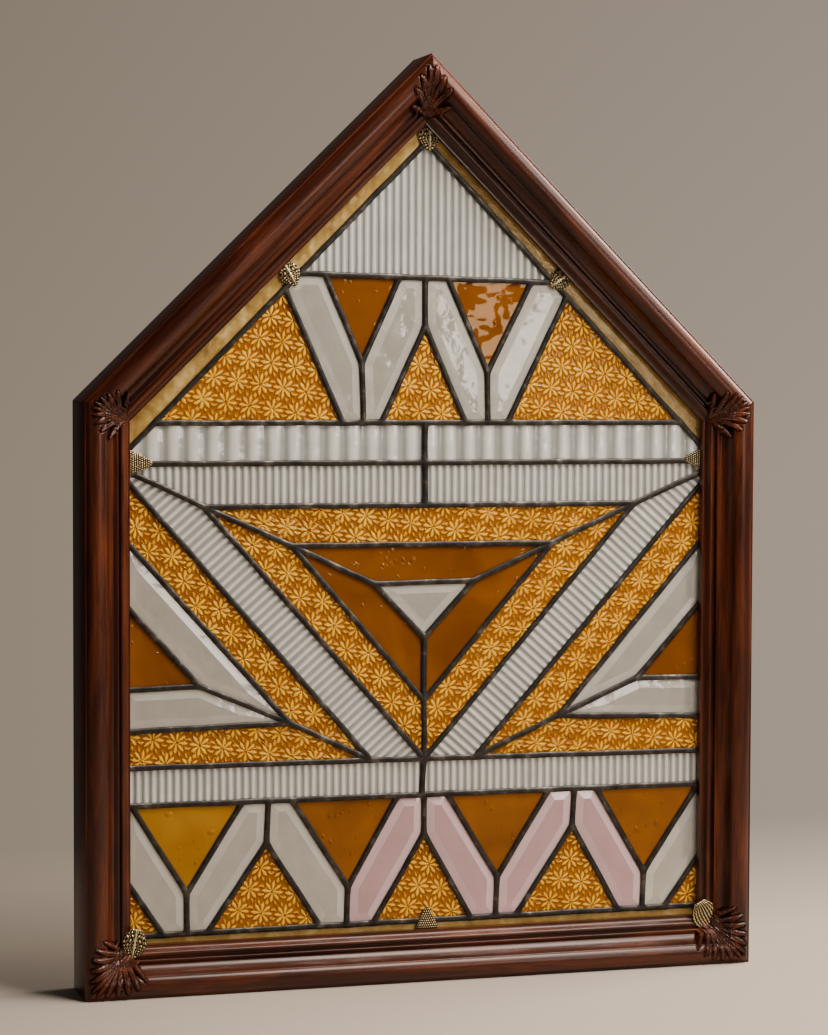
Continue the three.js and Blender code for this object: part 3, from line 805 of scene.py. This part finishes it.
def ripples(seed, lengths, heights):
    rng = np.random.default_rng(seed)
    waves = []
    for length, height in zip(lengths, heights):
        for _ in range(WAVES_EACH):
            turn = rng.uniform(0, math.pi)
            waves.append((math.cos(turn) / length, math.sin(turn) / length,
                          rng.uniform(0, 2 * math.pi), height / WAVES_EACH))
    return lambda p: sum(h * np.sin(2 * math.pi * (p[:, 0] * a + p[:, 1] * b) + c)
                         for a, b, c, h in waves)


print(WAVES_EACH, "waves for each length")

# %% [markdown]
# ## Clear glass
# The clear panes are plate and reeded glass, with a pale wall far behind them. With full
# transmission they would look as even as that wall, so part of the light is scattered by a base
# colour with soft patches. The valleys between reeds look darker, so painted shade darkens the
# base colour with the depth of the relief. The ground bevels of plate glass catch more light than
# its face, so where the true normal turns away from the front, a painted highlight lightens it.

# %% Clear glass
BEVEL_FULL, BEVEL_NONE = 0.985, 0.997
WHITE = (1, 1, 1)


def clear_glass(name, colour, transmission, roughness, wave=0.35, shaded_valley=None, bevel=None):
    material, tree, shader = shader_of(
        name, Roughness=roughness, IOR=1.5, Transmission_Weight=transmission,
        Specular_IOR_Level=0.6)
    waves = noise(tree, node(tree, "TexCoord").outputs["Object"], 38.0, Detail=3.0)
    tint = ramp(tree, waves, [
        (0.3, tuple(0.93 * c for c in colour)), (0.7, tuple(min(1, 1.05 * c) for c in colour))])
    # Painted shade: the base colour darkens with the depth of the relief, most in the valleys
    # between reeds.
    if shaded_valley:
        relief = node(tree, "Attribute", attribute_name="relief").outputs["Fac"]
        shade = ramp(tree, relief, [(0.25, WHITE), (1.0, (shaded_valley,) * 3)])
        tint = blend(tree, 1.0, tint, shade, "MULTIPLY")
    # Painted highlight: on the bevels, where the true normal turns away from the front, the base
    # colour is multiplied by the bevel tint, which is above 1.
    if bevel:
        normal = node(tree, "NewGeometry").outputs["True Normal"]
        towards = node(tree, "SeparateXYZ", normal).outputs["Y"]
        facing = node(tree, "Math", towards, operation="ABSOLUTE").outputs["Value"]
        share = ramp(tree, facing, [(BEVEL_FULL, bevel), (BEVEL_NONE, WHITE)])
        tint = blend(tree, 1.0, tint, share, "MULTIPLY")
    tree.links.new(tint, shader.inputs["Base Color"])
    bump(tree, shader, waves, 0.002, wave)
    return material


# The last value darkens the valleys between reeds, a painted shade.
REEDED = clear_glass("reeded_clear_glass", (0.97, 0.95, 0.875), 0.42, 0.09, shaded_valley=0.46)
print("made", REEDED.name)

# %% [markdown]
# ## Reeds
# Narrow reeds of 8 mm run upright in the top triangle and the thin bands, and slanting across the
# two arms; the upper band has broad reeds of 21 mm. Each reed is a shallow arch, with a sharp
# valley between it and the next, so the sine that makes it is folded over at every zero.

# %% Reeded panes
FINE_REED, BROAD_REED = 8.0, 21.0
REED_DEPTH = {FINE_REED: 1.7, BROAD_REED: 1.5}
ROWS_PER_REED = {FINE_REED: 8, BROAD_REED: 14}
REED_COLUMN = 12.0
REED_ROUND, REED_TOP = 0.85, 0.15
ARM_SLOPE = (35, 60)
REED_LAYOUT = {
    "gable_reeded_triangle": FINE_REED, "fine_reeded_left": FINE_REED,
    "fine_reeded_right": FINE_REED, "lower_reeded_left": FINE_REED,
    "lower_reeded_right": FINE_REED, "broad_reeded_left": BROAD_REED,
    "broad_reeded_right": BROAD_REED, "arm_reeded_left": FINE_REED, "arm_reeded_right": FINE_REED}


def reeds(pitch, across, seed):
    slow = ripples(seed, (55, 24), (0.10, 0.05))

    def depth(p):
        arch = np.abs(np.sin(math.pi * (p @ across) / pitch))
        return REED_DEPTH[pitch] * (1 - arch) ** REED_ROUND + REED_TOP + slow(p)
    return depth


def longest_side(name, low, high):
    """The direction of a pane's longest side that slopes between two angles."""
    ring = OUTLINES[name]
    spans = np.roll(ring, -1, 0) - ring
    angle = np.degrees(np.arctan2(np.abs(spans[:, 1]), np.abs(spans[:, 0])))
    length = np.hypot(*spans.T) * ((angle > low) & (angle < high))
    return spans[length.argmax()] / length.max()


for seed, (name, pitch) in enumerate(REED_LAYOUT.items()):
    run = np.array([0.0, 1.0])
    if name.startswith("arm"):
        edge = longest_side(name, *ARM_SLOPE)
        run = np.array([edge[1], -edge[0]])
    across = np.array([run[1], -run[0]])
    part = sheet_arrays(OUTLINES[name], run, pitch / ROWS_PER_REED[pitch], REED_COLUMN,
                        reeds(pitch, across, seed))
    piece = add_sheet(name.replace("reeded", "reeds"), [part], REEDED, [name])
    print(piece.name, "pitch", pitch, "mm,", len(piece.data.polygons), "faces")

# %% [markdown]
# ## Star glass
# The gold panes are pressed with rows of eight-petalled stars, about 25 mm apart, each row a
# little to the side of the last. A petal is a lozenge with a ridge down its middle, and a bud
# stands between two petals. One formula in polar coordinates round the nearest star gives the
# height, where modelling each star would cost hundreds of small pieces.

# %% Star pattern
STAR_ACROSS, STAR_ROWS, STAR_SHIFT, STAR_TURN = 24.6, 23.4, 8.0, math.radians(-9)
PETAL_TURN = 2 * math.pi / 8
PETAL = {"start": 0.7, "end": 11.8, "wide": 3.1, "fullest": 0.66}
BUD = {"start": 9.0, "end": 15.2, "wide": 2.0, "fullest": 0.5}
BUD_HEIGHT = 0.85
PRESS_DEPTH, PRESS_TOP = 1.25, 0.15


def petal_rise(r, off, start, end, wide, fullest):
    """A pointed petal with a ridge: 1 on the ridge and 0 at its edge."""
    along_petal, side = r * np.cos(off), np.abs(r * np.sin(off))
    share = np.clip((along_petal - start) / (end - start), 0, 1)
    body = np.where(share < fullest, share / fullest, (1 - share) / (1 - fullest)) ** 0.8
    return np.clip(1 - side / np.maximum(wide * body, 0.05), 0, 1) ** 0.75


def star_rise(dx, dz):
    """How high the pressing stands, 0 to 1, at a place measured from a star's middle."""
    r, angle = np.hypot(dx, dz), np.arctan2(dz, dx)
    from_petal = (angle + PETAL_TURN / 2) % PETAL_TURN - PETAL_TURN / 2
    from_bud = angle % PETAL_TURN - PETAL_TURN / 2
    return np.maximum(petal_rise(r, from_petal, **PETAL),
                      BUD_HEIGHT * petal_rise(r, from_bud, **BUD))


def star_depth(seed):
    slow = ripples(seed, (60, 31), (0.08, 0.05))
    c, s = math.cos(STAR_TURN), math.sin(STAR_TURN)

    def depth(p):
        x, z = p[:, 0] * c + p[:, 1] * s, -p[:, 0] * s + p[:, 1] * c
        best = np.zeros(len(p))
        for beside_row in (-1, 0, 1):
            line = np.round(z / STAR_ROWS) + beside_row
            shift = line * STAR_SHIFT
            column = np.round((x - shift) / STAR_ACROSS)
            for beside in (-1, 0, 1):
                dx = x - shift - (column + beside) * STAR_ACROSS
                best = np.maximum(best, star_rise(dx, z - line * STAR_ROWS))
        return PRESS_DEPTH * (1 - best) + PRESS_TOP + slow(p)
    return depth


print("stars every", STAR_ACROSS, "mm in rows", STAR_ROWS, "mm apart")

# %% [markdown]
# The colour of star glass changes with its relief as painted light: a pale gold painted highlight
# on the crests and a dark amber painted shade in the valleys. So the depth of the
# pressing is kept on the points as an attribute, and a cloudy noise moves the colours a little.

# %% Star glass
CLOUDINESS = 0.35
STAR_STEP = 1.05


def star_glass(name, shaded_valley, middle, crest):
    material, tree, shader = shader_of(name, Roughness=0.13, IOR=1.5, Transmission_Weight=0.15,
                                       Specular_IOR_Level=0.42,
                                       Specular_Tint=(1.0, 0.72, 0.32, 1))
    relief = node(tree, "Attribute", attribute_name="relief").outputs["Fac"]
    place = node(tree, "TexCoord").outputs["Object"]
    shifted = node(tree, "Math", noise(tree, place, 22.0, Detail=4.0), operation="MULTIPLY_ADD")
    shifted.inputs[1].default_value = CLOUDINESS
    tree.links.new(relief, shifted.inputs[2])
    # Painted light: the colour follows the relief, a painted highlight on the crests and painted
    # shade in the valleys.
    colour = ramp(tree, shifted.outputs["Value"], [(0.42, crest), (0.80, middle), (1.0, shaded_valley)])
    tree.links.new(colour, shader.inputs["Base Color"])
    bump(tree, shader, noise(tree, place, 600.0, Detail=3.0), 0.0003, 0.35)
    return material


# The valley colour is painted shade and the crest colour a painted highlight.
STAR = star_glass("gold_star_glass", (0.31, 0.10, 0.002), (0.76, 0.325, 0.007),
                  (0.97, 0.57, 0.06))
STAR_PANES = [name for name in PANES if "star" in name]
for seed, name in enumerate(STAR_PANES):
    part = sheet_arrays(OUTLINES[name], (1, 0), STAR_STEP, STAR_STEP, star_depth(seed))
    add_sheet(name.replace("star", "stars"), [part], STAR, [name])
print(len(STAR_PANES), "panes of star glass")

# %% [markdown]
# ## Seedy amber glass
# The drops and the inner ring are smooth amber glass with seeds: small bubbles that stretched as
# the sheet was drawn. Modelling every bubble inside the glass would be slow to render. A bubble
# near the surface also lifts it into a little blister with a faint hollow round it, and that is
# what the eye sees, so each one is a low dome on the front. One pane in the gable is wavier, with
# hardly any seeds.

# %% Blisters
SEED_SIZES, SEED_SHARES = [1.1, 1.6, 2.6], [0.55, 0.3, 0.15]
SEED_STRETCH = (1.0, 1.7)
SEED_MARGIN = 4
BLISTER_HEIGHT, HOLLOW_DEPTH, HOLLOW_AT, HOLLOW_WIDE = 0.8, 0.25, 1.3, 0.25
SEEDY_TOP = 0.9


def blisters(outline, seed, spacing):
    """The seeds of a pane: place, size, stretch and turn, at random."""
    rng = np.random.default_rng(seed)
    low, high = outline.min(0), outline.max(0)
    x, z = outline.T
    area = abs(np.sum(x * np.roll(z, -1) - z * np.roll(x, -1))) / 2
    spots = []
    for _ in range(int(area / spacing ** 2) + 2):
        spot = rng.uniform(low + SEED_MARGIN, high - SEED_MARGIN)
        size = rng.choice(SEED_SIZES, p=SEED_SHARES)
        spots.append((*spot, size, rng.uniform(*SEED_STRETCH), rng.uniform(0, math.pi)))
    return spots


def seedy_depth(outline, seed, spacing, lengths, heights):
    slow = ripples(seed, lengths, heights)
    seeds = blisters(outline, seed + 40, spacing)

    def depth(p):
        out = SEEDY_TOP + slow(p)
        for x, z, size, stretch, turn in seeds:
            dx, dz = p[:, 0] - x, p[:, 1] - z
            a = (dx * math.cos(turn) + dz * math.sin(turn)) / (size * stretch)
            b = (-dx * math.sin(turn) + dz * math.cos(turn)) / size
            r = np.hypot(a, b)
            out = out - BLISTER_HEIGHT * np.clip(1 - r ** 2, 0, 1) ** 0.6
            out = out + HOLLOW_DEPTH * hump(r, HOLLOW_AT, HOLLOW_WIDE)
        return np.maximum(out, 0)
    return depth


print("seeds are", SEED_SIZES, "mm from middle to edge")

# %% Amber and yellow panes
SEED_STEP = 1.15
SEEDY_SHEET = {"spacing": 17.0, "lengths": (70, 33), "heights": (0.22, 0.10)}
WAVY_SHEET = {"spacing": 60.0, "lengths": (40, 12), "heights": (0.50, 0.10)}
WAVY_PANE, YELLOW_PANE = "gable_drop_right", "foot_drop_1"


def seedy_glass(name, deep, pale):
    material, tree, shader = shader_of(name, Roughness=0.05, IOR=1.5, Transmission_Weight=0.30,
                                       Specular_IOR_Level=0.35,
                                       Specular_Tint=(1.0, 0.70, 0.40, 1))
    place = node(tree, "TexCoord").outputs["Object"]
    cloud = noise(tree, place, 14.0, Detail=3.0, Distortion=0.6)
    tree.links.new(ramp(tree, cloud, [(0.3, deep), (0.7, pale)]), shader.inputs["Base Color"])
    bump(tree, shader, cloud, 0.003, 0.3)
    return material


AMBER = seedy_glass("seedy_amber_glass", (0.175, 0.050, 0.0025), (0.30, 0.095, 0.005))
YELLOW = seedy_glass("seedy_yellow_glass", (0.36, 0.15, 0.003), (0.50, 0.23, 0.006))
AMBER_PANES = [name for name in PANES if "amber" in name or "drop" in name]
for seed, name in enumerate(AMBER_PANES):
    outline = OUTLINES[name]
    sheet = WAVY_SHEET if name == WAVY_PANE else SEEDY_SHEET
    part = sheet_arrays(outline, (1, 0), SEED_STEP, SEED_STEP, seedy_depth(outline, seed, **sheet))
    glass, slot = (YELLOW, "yellow_glass") if name == YELLOW_PANE else (AMBER, "amber_glass")
    add_sheet(name + "_seedy", [part], glass, [name])
print(len(AMBER_PANES), "panes of seedy glass")

# %% [markdown]
# ## Gold border
# Narrow strips of pale gold glass run along both rakes and the foot. The strip on the left rake
# comes from a hammered sheet and throws bright patches; the others are nearly smooth. They are
# swept like the other sheets, each along its own length, with short waves for the hammering.

# %% Gold strips
HAMMERED, HAMMERED_TOP = ripples(7, (16, 9), (0.55, 0.25)), 0.6
CALM, CALM_TOP = ripples(8, (30, 12), (0.18, 0.10)), 0.4


def gold_glass():
    material, tree, shader = shader_of("pale_gold_glass", Roughness=0.22, IOR=1.5,
                                       Transmission_Weight=0.15, Specular_IOR_Level=0.6,
                                       Specular_Tint=(1.0, 0.82, 0.5, 1))
    place = node(tree, "TexCoord").outputs["Object"]
    colour = ramp(tree, noise(tree, place, 45.0, Detail=5.0, Roughness=0.6), [
        (0.32, (0.28, 0.155, 0.035)), (0.52, (0.45, 0.28, 0.075)), (0.72, (0.72, 0.52, 0.20))])
    tree.links.new(colour, shader.inputs["Base Color"])
    bump(tree, shader, noise(tree, place, 420.0, Detail=2.0), 0.0004, 0.5)
    return material


def calm_strip(outline, way):
    return sheet_arrays(outline, way, 1.5, 2.0, lambda p: CALM_TOP + CALM(p))


GOLD = gold_glass()
left_part = sheet_arrays(STRIP_LEFT, along(1), 1.3, 1.6, lambda p: HAMMERED_TOP + HAMMERED(p))
right_part = calm_strip(STRIP_RIGHT, along(2))
foot_part = calm_strip(OUTLINES["border_strip_foot"], (1, 0))
rakes = add_sheet("gold_strips_rakes", [left_part, right_part], GOLD, [RAKE_STRIPS])
foot = add_sheet("gold_strip_foot", [foot_part], GOLD, ["border_strip_foot"])
print("made", rakes.name, "and", foot.name)

# %% [markdown]
# ## Bevelled glass
# The bars and the middle triangle are plate glass with a ground and polished bevel. The packed
# shapes already have their true bevels, so they stay and only get the glass: nearly clear with a
# warm grey body, or lilac for four of the bars along the foot.

# %% Clear and lilac plate
# The bevel colours are painted highlights on the ground bevels.
CLEAR = clear_glass("bevelled_clear_glass", (0.64, 0.61, 0.53), 0.66, 0.05, wave=0.6,
                    bevel=(1.35, 1.36, 1.40))
LILAC = clear_glass("bevelled_lilac_glass", (0.64, 0.40, 0.41), 0.50, 0.05,
                    bevel=(1.4, 1.6, 1.6))
LILAC_BARS = ("foot_bar_4", "foot_bar_5", "foot_bar_6", "foot_bar_7")
BEVELLED = [name for name in PANES
            if any(word in name for word in ("bar", "clear", "bevel", "middle_triangle"))]
for name in BEVELLED:
    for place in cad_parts[name].material_slots:
        place.material = LILAC if name in LILAC_BARS else CLEAR
print(len(BEVELLED), "bevelled panes")

# %% [markdown]
# ## Brass leaves
# Eight small cast leaves of antique brass hide the joints: six lie over the lead of the border
# and two over the frame's lip at the foot. Real ones are pierced openwork, too fine to cut here.
# Each is a grid laid over a leaf-shaped outline, with its length, its width and one of three
# chased surfaces: barbs beside a middle rib, rows of beads, or the ribs of a shell. The depth of
# the casting drives the colour, bright on the high places and nearly black in the hollows.

# %% Antique brass
def antique_brass():
    material, tree, shader = shader_of("antique_brass", Metallic=0.9, Specular_IOR_Level=0.5)
    relief = node(tree, "Attribute", attribute_name="relief").outputs["Fac"]
    colour = ramp(tree, relief, [(0.25, (0.022, 0.016, 0.007)), (0.55, (0.24, 0.17, 0.07)),
                                 (0.88, (0.80, 0.64, 0.36))])
    tree.links.new(colour, shader.inputs["Base Color"])
    tree.links.new(to_range(tree, relief, 0.1, 0.9, 0.6, 0.28), shader.inputs["Roughness"])
    return material


BRASS = antique_brass()
print("made", BRASS.name)

# %% Chased surfaces
BARB_PITCH, GAP_PITCH, BEAD_PITCH = 3.4, 3.0, 2.3
BARB_LENGTH, BEAD_LENGTH = 30, 24
RIB_SHARE, RIB_HEIGHT = 0.09, 0.9
SHELL_RIBS, SHELL_RINGS = 4.5, 7


def swell(turns):
    """A smooth wave between 0 and 1."""
    return 0.5 + 0.5 * np.cos(2 * math.pi * turns)


def barbs(u, v, wide):
    curl = 1.1 * np.sin(wide * 1.3 + 2.0 * np.sin(u * 9))
    lines = swell((u * BARB_LENGTH - wide * 0.9 + curl) / BARB_PITCH)
    gaps = swell((wide - 1.5 * np.sin(u * 14)) / GAP_PITCH)
    return np.where(np.abs(v) < RIB_SHARE, RIB_HEIGHT, np.clip(lines * (0.35 + 0.8 * gaps), 0, 1))


def beads(u, v, wide):
    rows = u * BEAD_LENGTH / BEAD_PITCH
    across = (np.sign(v) * wide / BEAD_PITCH + (np.floor(rows) % 2) * 0.5) % 1 - 0.5
    return np.clip(1.15 - 2.3 * np.hypot(across, rows % 1 - 0.5), 0, 1) ** 0.6


def shell(u, v, wide):
    return np.clip(0.85 * swell(v * SHELL_RIBS) + 0.25 * swell(u * SHELL_RINGS) * u, 0, 1)


CHASING = {"barbs": barbs, "beads": beads, "shell": shell}
HALF_WIDTHS = {  # at u along a leaf of this length
    "barbs": lambda u, size: size * 0.40 * np.sin(math.pi * (0.12 + 0.85 * u)) ** 0.85,
    "beads": lambda u, size: size * 0.50 * np.clip(1.02 - u, 0, 1) ** 0.75 + 0.6,
    "shell": lambda u, size: size * 0.52 * np.sin(math.pi * (0.10 + 0.72 * u)) ** 0.8}
print("chased surfaces:", *CHASING)

# %% [markdown]
# Each leaf has its middle, its back face, its length, the direction of its tip and its surface.
# A scalloped edge and a dome over its whole length and width keep it from looking stamped out.

# %% Casting the leaves
LEAF_ROWS, LEAF_COLUMNS = 46, 41
BRASS_HEIGHT, HOLLOW_SHARE = 3.4, 0.45
RIGHT, UP, LEFT, DOWN = 0, 90, 180, -90
ON_LEAD, ON_LIP = -1.0, -15.3
BRASS_LEAVES = [
    ("brass_leaf_point", (6.3, 876), ON_LEAD, 29, DOWN, "barbs"),
    ("brass_leaf_left_rake", (-142.3, 732.5), ON_LEAD, 27, -60, "barbs"),
    ("brass_leaf_right_rake", (150.1, 730.2), ON_LEAD, 26, 215, "barbs"),
    ("brass_leaf_left_eave", (-297, 540.2), ON_LEAD, 24, RIGHT, "beads"),
    ("brass_leaf_right_eave", (305.0, 541.2), ON_LEAD, 24, LEFT, "beads"),
    ("brass_leaf_left_foot", (-307.7, 52.7), ON_LIP, 31, -100, "barbs"),
    ("brass_leaf_middle_foot", (6.4, 60.2), ON_LEAD, 25, UP, "beads"),
    ("brass_leaf_right_foot", (314.6, 52.1), ON_LIP, 29, -62, "shell"),
]


def cast_leaf(name, middle, y, size, degrees, kind):
    u, v = np.meshgrid(np.linspace(0, 1, LEAF_ROWS), np.linspace(-1, 1, LEAF_COLUMNS),
                       indexing="ij")
    scallops = 1 + 0.10 * np.abs(np.sin(8 * math.pi * u)) - 0.05
    half = HALF_WIDTHS[kind](u, size) * scallops
    level = CHASING[kind](u, v, np.abs(v) * half)
    dome = np.sqrt(np.clip(1 - 0.9 * np.abs(v) ** 2.4, 0, 1))
    dome = dome * np.sqrt(np.clip(1 - 0.9 * np.abs(2 * u - 1) ** 4, 0, 1))
    height = BRASS_HEIGHT * dome * (HOLLOW_SHARE + (1 - HOLLOW_SHARE) * level)
    c, s = math.cos(math.radians(degrees)), math.sin(math.radians(degrees))
    run, side = (u - 0.5) * size, v * half
    x, z = middle[0] + c * run - s * side, middle[1] + s * run + c * side
    front = np.stack([x, y - height, z], -1).reshape(-1, 3)
    points, faces, rim = slab(front, LEAF_ROWS, LEAF_COLUMNS, y, turned=True)
    return make_piece(name, points, faces, BRASS,
                      attributes={"relief": np.concatenate([level.ravel(), np.zeros(rim)])})


for row in BRASS_LEAVES:
    cast_leaf(*row)
print(len(BRASS_LEAVES), "brass leaves")

# %% [markdown]
# ## Floor
# The window stands on a plain pale floor. A hard edge to it would show as a line behind the
# window, so the floor fades out behind the window and all round, by its transparency.

# %% Floor
FLOOR_NEAR, FLOOR_FAR, FLOOR_SIDE = -3.4, 0.9, 3.0
FADE_START = 0.15
RIM_START, RIM_END = 1.6, 2.9


def floor_material():
    material, tree, shader = shader_of("studio_floor", Roughness=0.6, Specular_IOR_Level=0.25,
                                       Base_Color=(0.43, 0.367, 0.302, 1))
    place = node(tree, "TexCoord").outputs["Object"]
    behind = node(tree, "SeparateXYZ", place).outputs["Y"]
    away = node(tree, "VectorMath", place, operation="LENGTH").outputs["Value"]
    both = node(tree, "Math", to_range(tree, behind, FADE_START, FLOOR_FAR, 1.0, 0.0),
                operation="MULTIPLY")
    tree.links.new(to_range(tree, away, RIM_START, RIM_END, 1.0, 0.0), both.inputs[1])
    tree.links.new(both.outputs["Value"], shader.inputs["Alpha"])
    return material


floor_mesh = bpy.data.meshes.new("floor")
floor_corners = [(-FLOOR_SIDE, FLOOR_NEAR, 0), (FLOOR_SIDE, FLOOR_NEAR, 0),
                 (FLOOR_SIDE, FLOOR_FAR, 0), (-FLOOR_SIDE, FLOOR_FAR, 0)]
floor_mesh.from_pydata(floor_corners, [], [(0, 1, 2, 3)])
floor_mesh.materials.append(floor_material())
floor = bpy.data.objects.new("floor", floor_mesh)
bpy.context.scene.collection.objects.link(floor)
print("floor reaches", FLOOR_FAR, "metres behind the window")

# %% [markdown]
# ## The colour of the air
# Far behind the window is a plain studio wall. A wall built as an object would hide the window
# from some side, so the wall is only the colour of the air, a little darker to the left and above.
# The eye, straight or through the glass, sees that wall. Everything else that looks out, such as
# the gloss on the wood, sees a darker room that is lighter on the right.

# %% Air
def studio_air():
    world = bpy.data.worlds.new("studio")
    bpy.context.scene.world = world
    world.use_nodes = True
    tree = world.node_tree
    way = node(tree, "SeparateXYZ", node(tree, "TexCoord").outputs["Generated"])
    wall = ramp(tree, to_range(tree, way.outputs["X"], 0.10, 0.48), [
        (0.0, (0.290, 0.236, 0.175)), (1.0, (0.45, 0.365, 0.290))])
    height = ramp(tree, to_range(tree, way.outputs["Z"], -0.04, 0.13), [
        (0.0, WHITE), (1.0, (0.85, 0.85, 0.87))])
    room = ramp(tree, to_range(tree, way.outputs["X"], -0.6, 0.6), [
        (0.0, (0.020, 0.018, 0.017)), (0.5, (0.050, 0.045, 0.040)), (1.0, (0.16, 0.145, 0.13))])
    path = node(tree, "LightPath")
    seen = node(tree, "Math", path.outputs["Is Camera Ray"], operation="MAXIMUM")
    tree.links.new(path.outputs["Is Transmission Ray"], seen.inputs[1])
    shaded = blend(tree, 1.0, wall, height, "MULTIPLY")
    air = blend(tree, seen.outputs["Value"], room, shaded, "MIX")
    tree.links.new(air, tree.nodes["Background"].inputs["Color"])
    return world


print("made the air of the", studio_air().name)

# %% [markdown]
# ## Soft light
# Small lamps would give hard glints, so every light is a soft box, an area light that the camera
# doesn't see. A large one hangs high on the right in front of the window, and a second one above
# the window picks out the tops of the mouldings. A third stands at the right side and draws long
# highlights on them. A weak one fills in from the left, and a small card in front on the right
# shows as a pale reflection in the upper panes.

# %% Lights
MIDDLE, FOOT, CARD = (0, 0, 0.5), (0, 0, 0.2), (0.69, 0, 0.67)
NEUTRAL, WARM = (1.0, 0.97, 0.93), (1.0, 0.90, 0.82)
SOFT_BOXES = [  # name, place, aim, size in metres, power in watts, colour
    ("key", (1.7, -1.7, 2.1), MIDDLE, (1.2, 1.2), 45, NEUTRAL),
    ("top", (0.65, -0.75, 2.05), FOOT, (1.1, 0.7), 66, WARM),
    ("side", (1.85, 0.15, 1.65), MIDDLE, (1.2, 0.8), 58, WARM),
    ("fill", (-2.4, -2.6, 1.3), MIDDLE, (1.6, 1.6), 3.5, NEUTRAL),
    ("card", (0.69, -1.5, 0.67), CARD, (0.40, 0.26), 3.6, WARM),
]


def soft_box(name, place, aim, size, power, colour):
    light = bpy.data.lights.new(name, "AREA")
    light.shape = "RECTANGLE"
    light.size, light.size_y = size
    light.energy, light.color = power, colour
    lamp = bpy.data.objects.new(name, light)
    lamp.location = place
    lamp.rotation_euler = (Vector(aim) - Vector(place)).to_track_quat("-Z", "Y").to_euler()
    lamp.visible_camera = False
    bpy.context.scene.collection.objects.link(lamp)


for row in SOFT_BOXES:
    soft_box(*row)
print(len(SOFT_BOXES), "soft boxes")
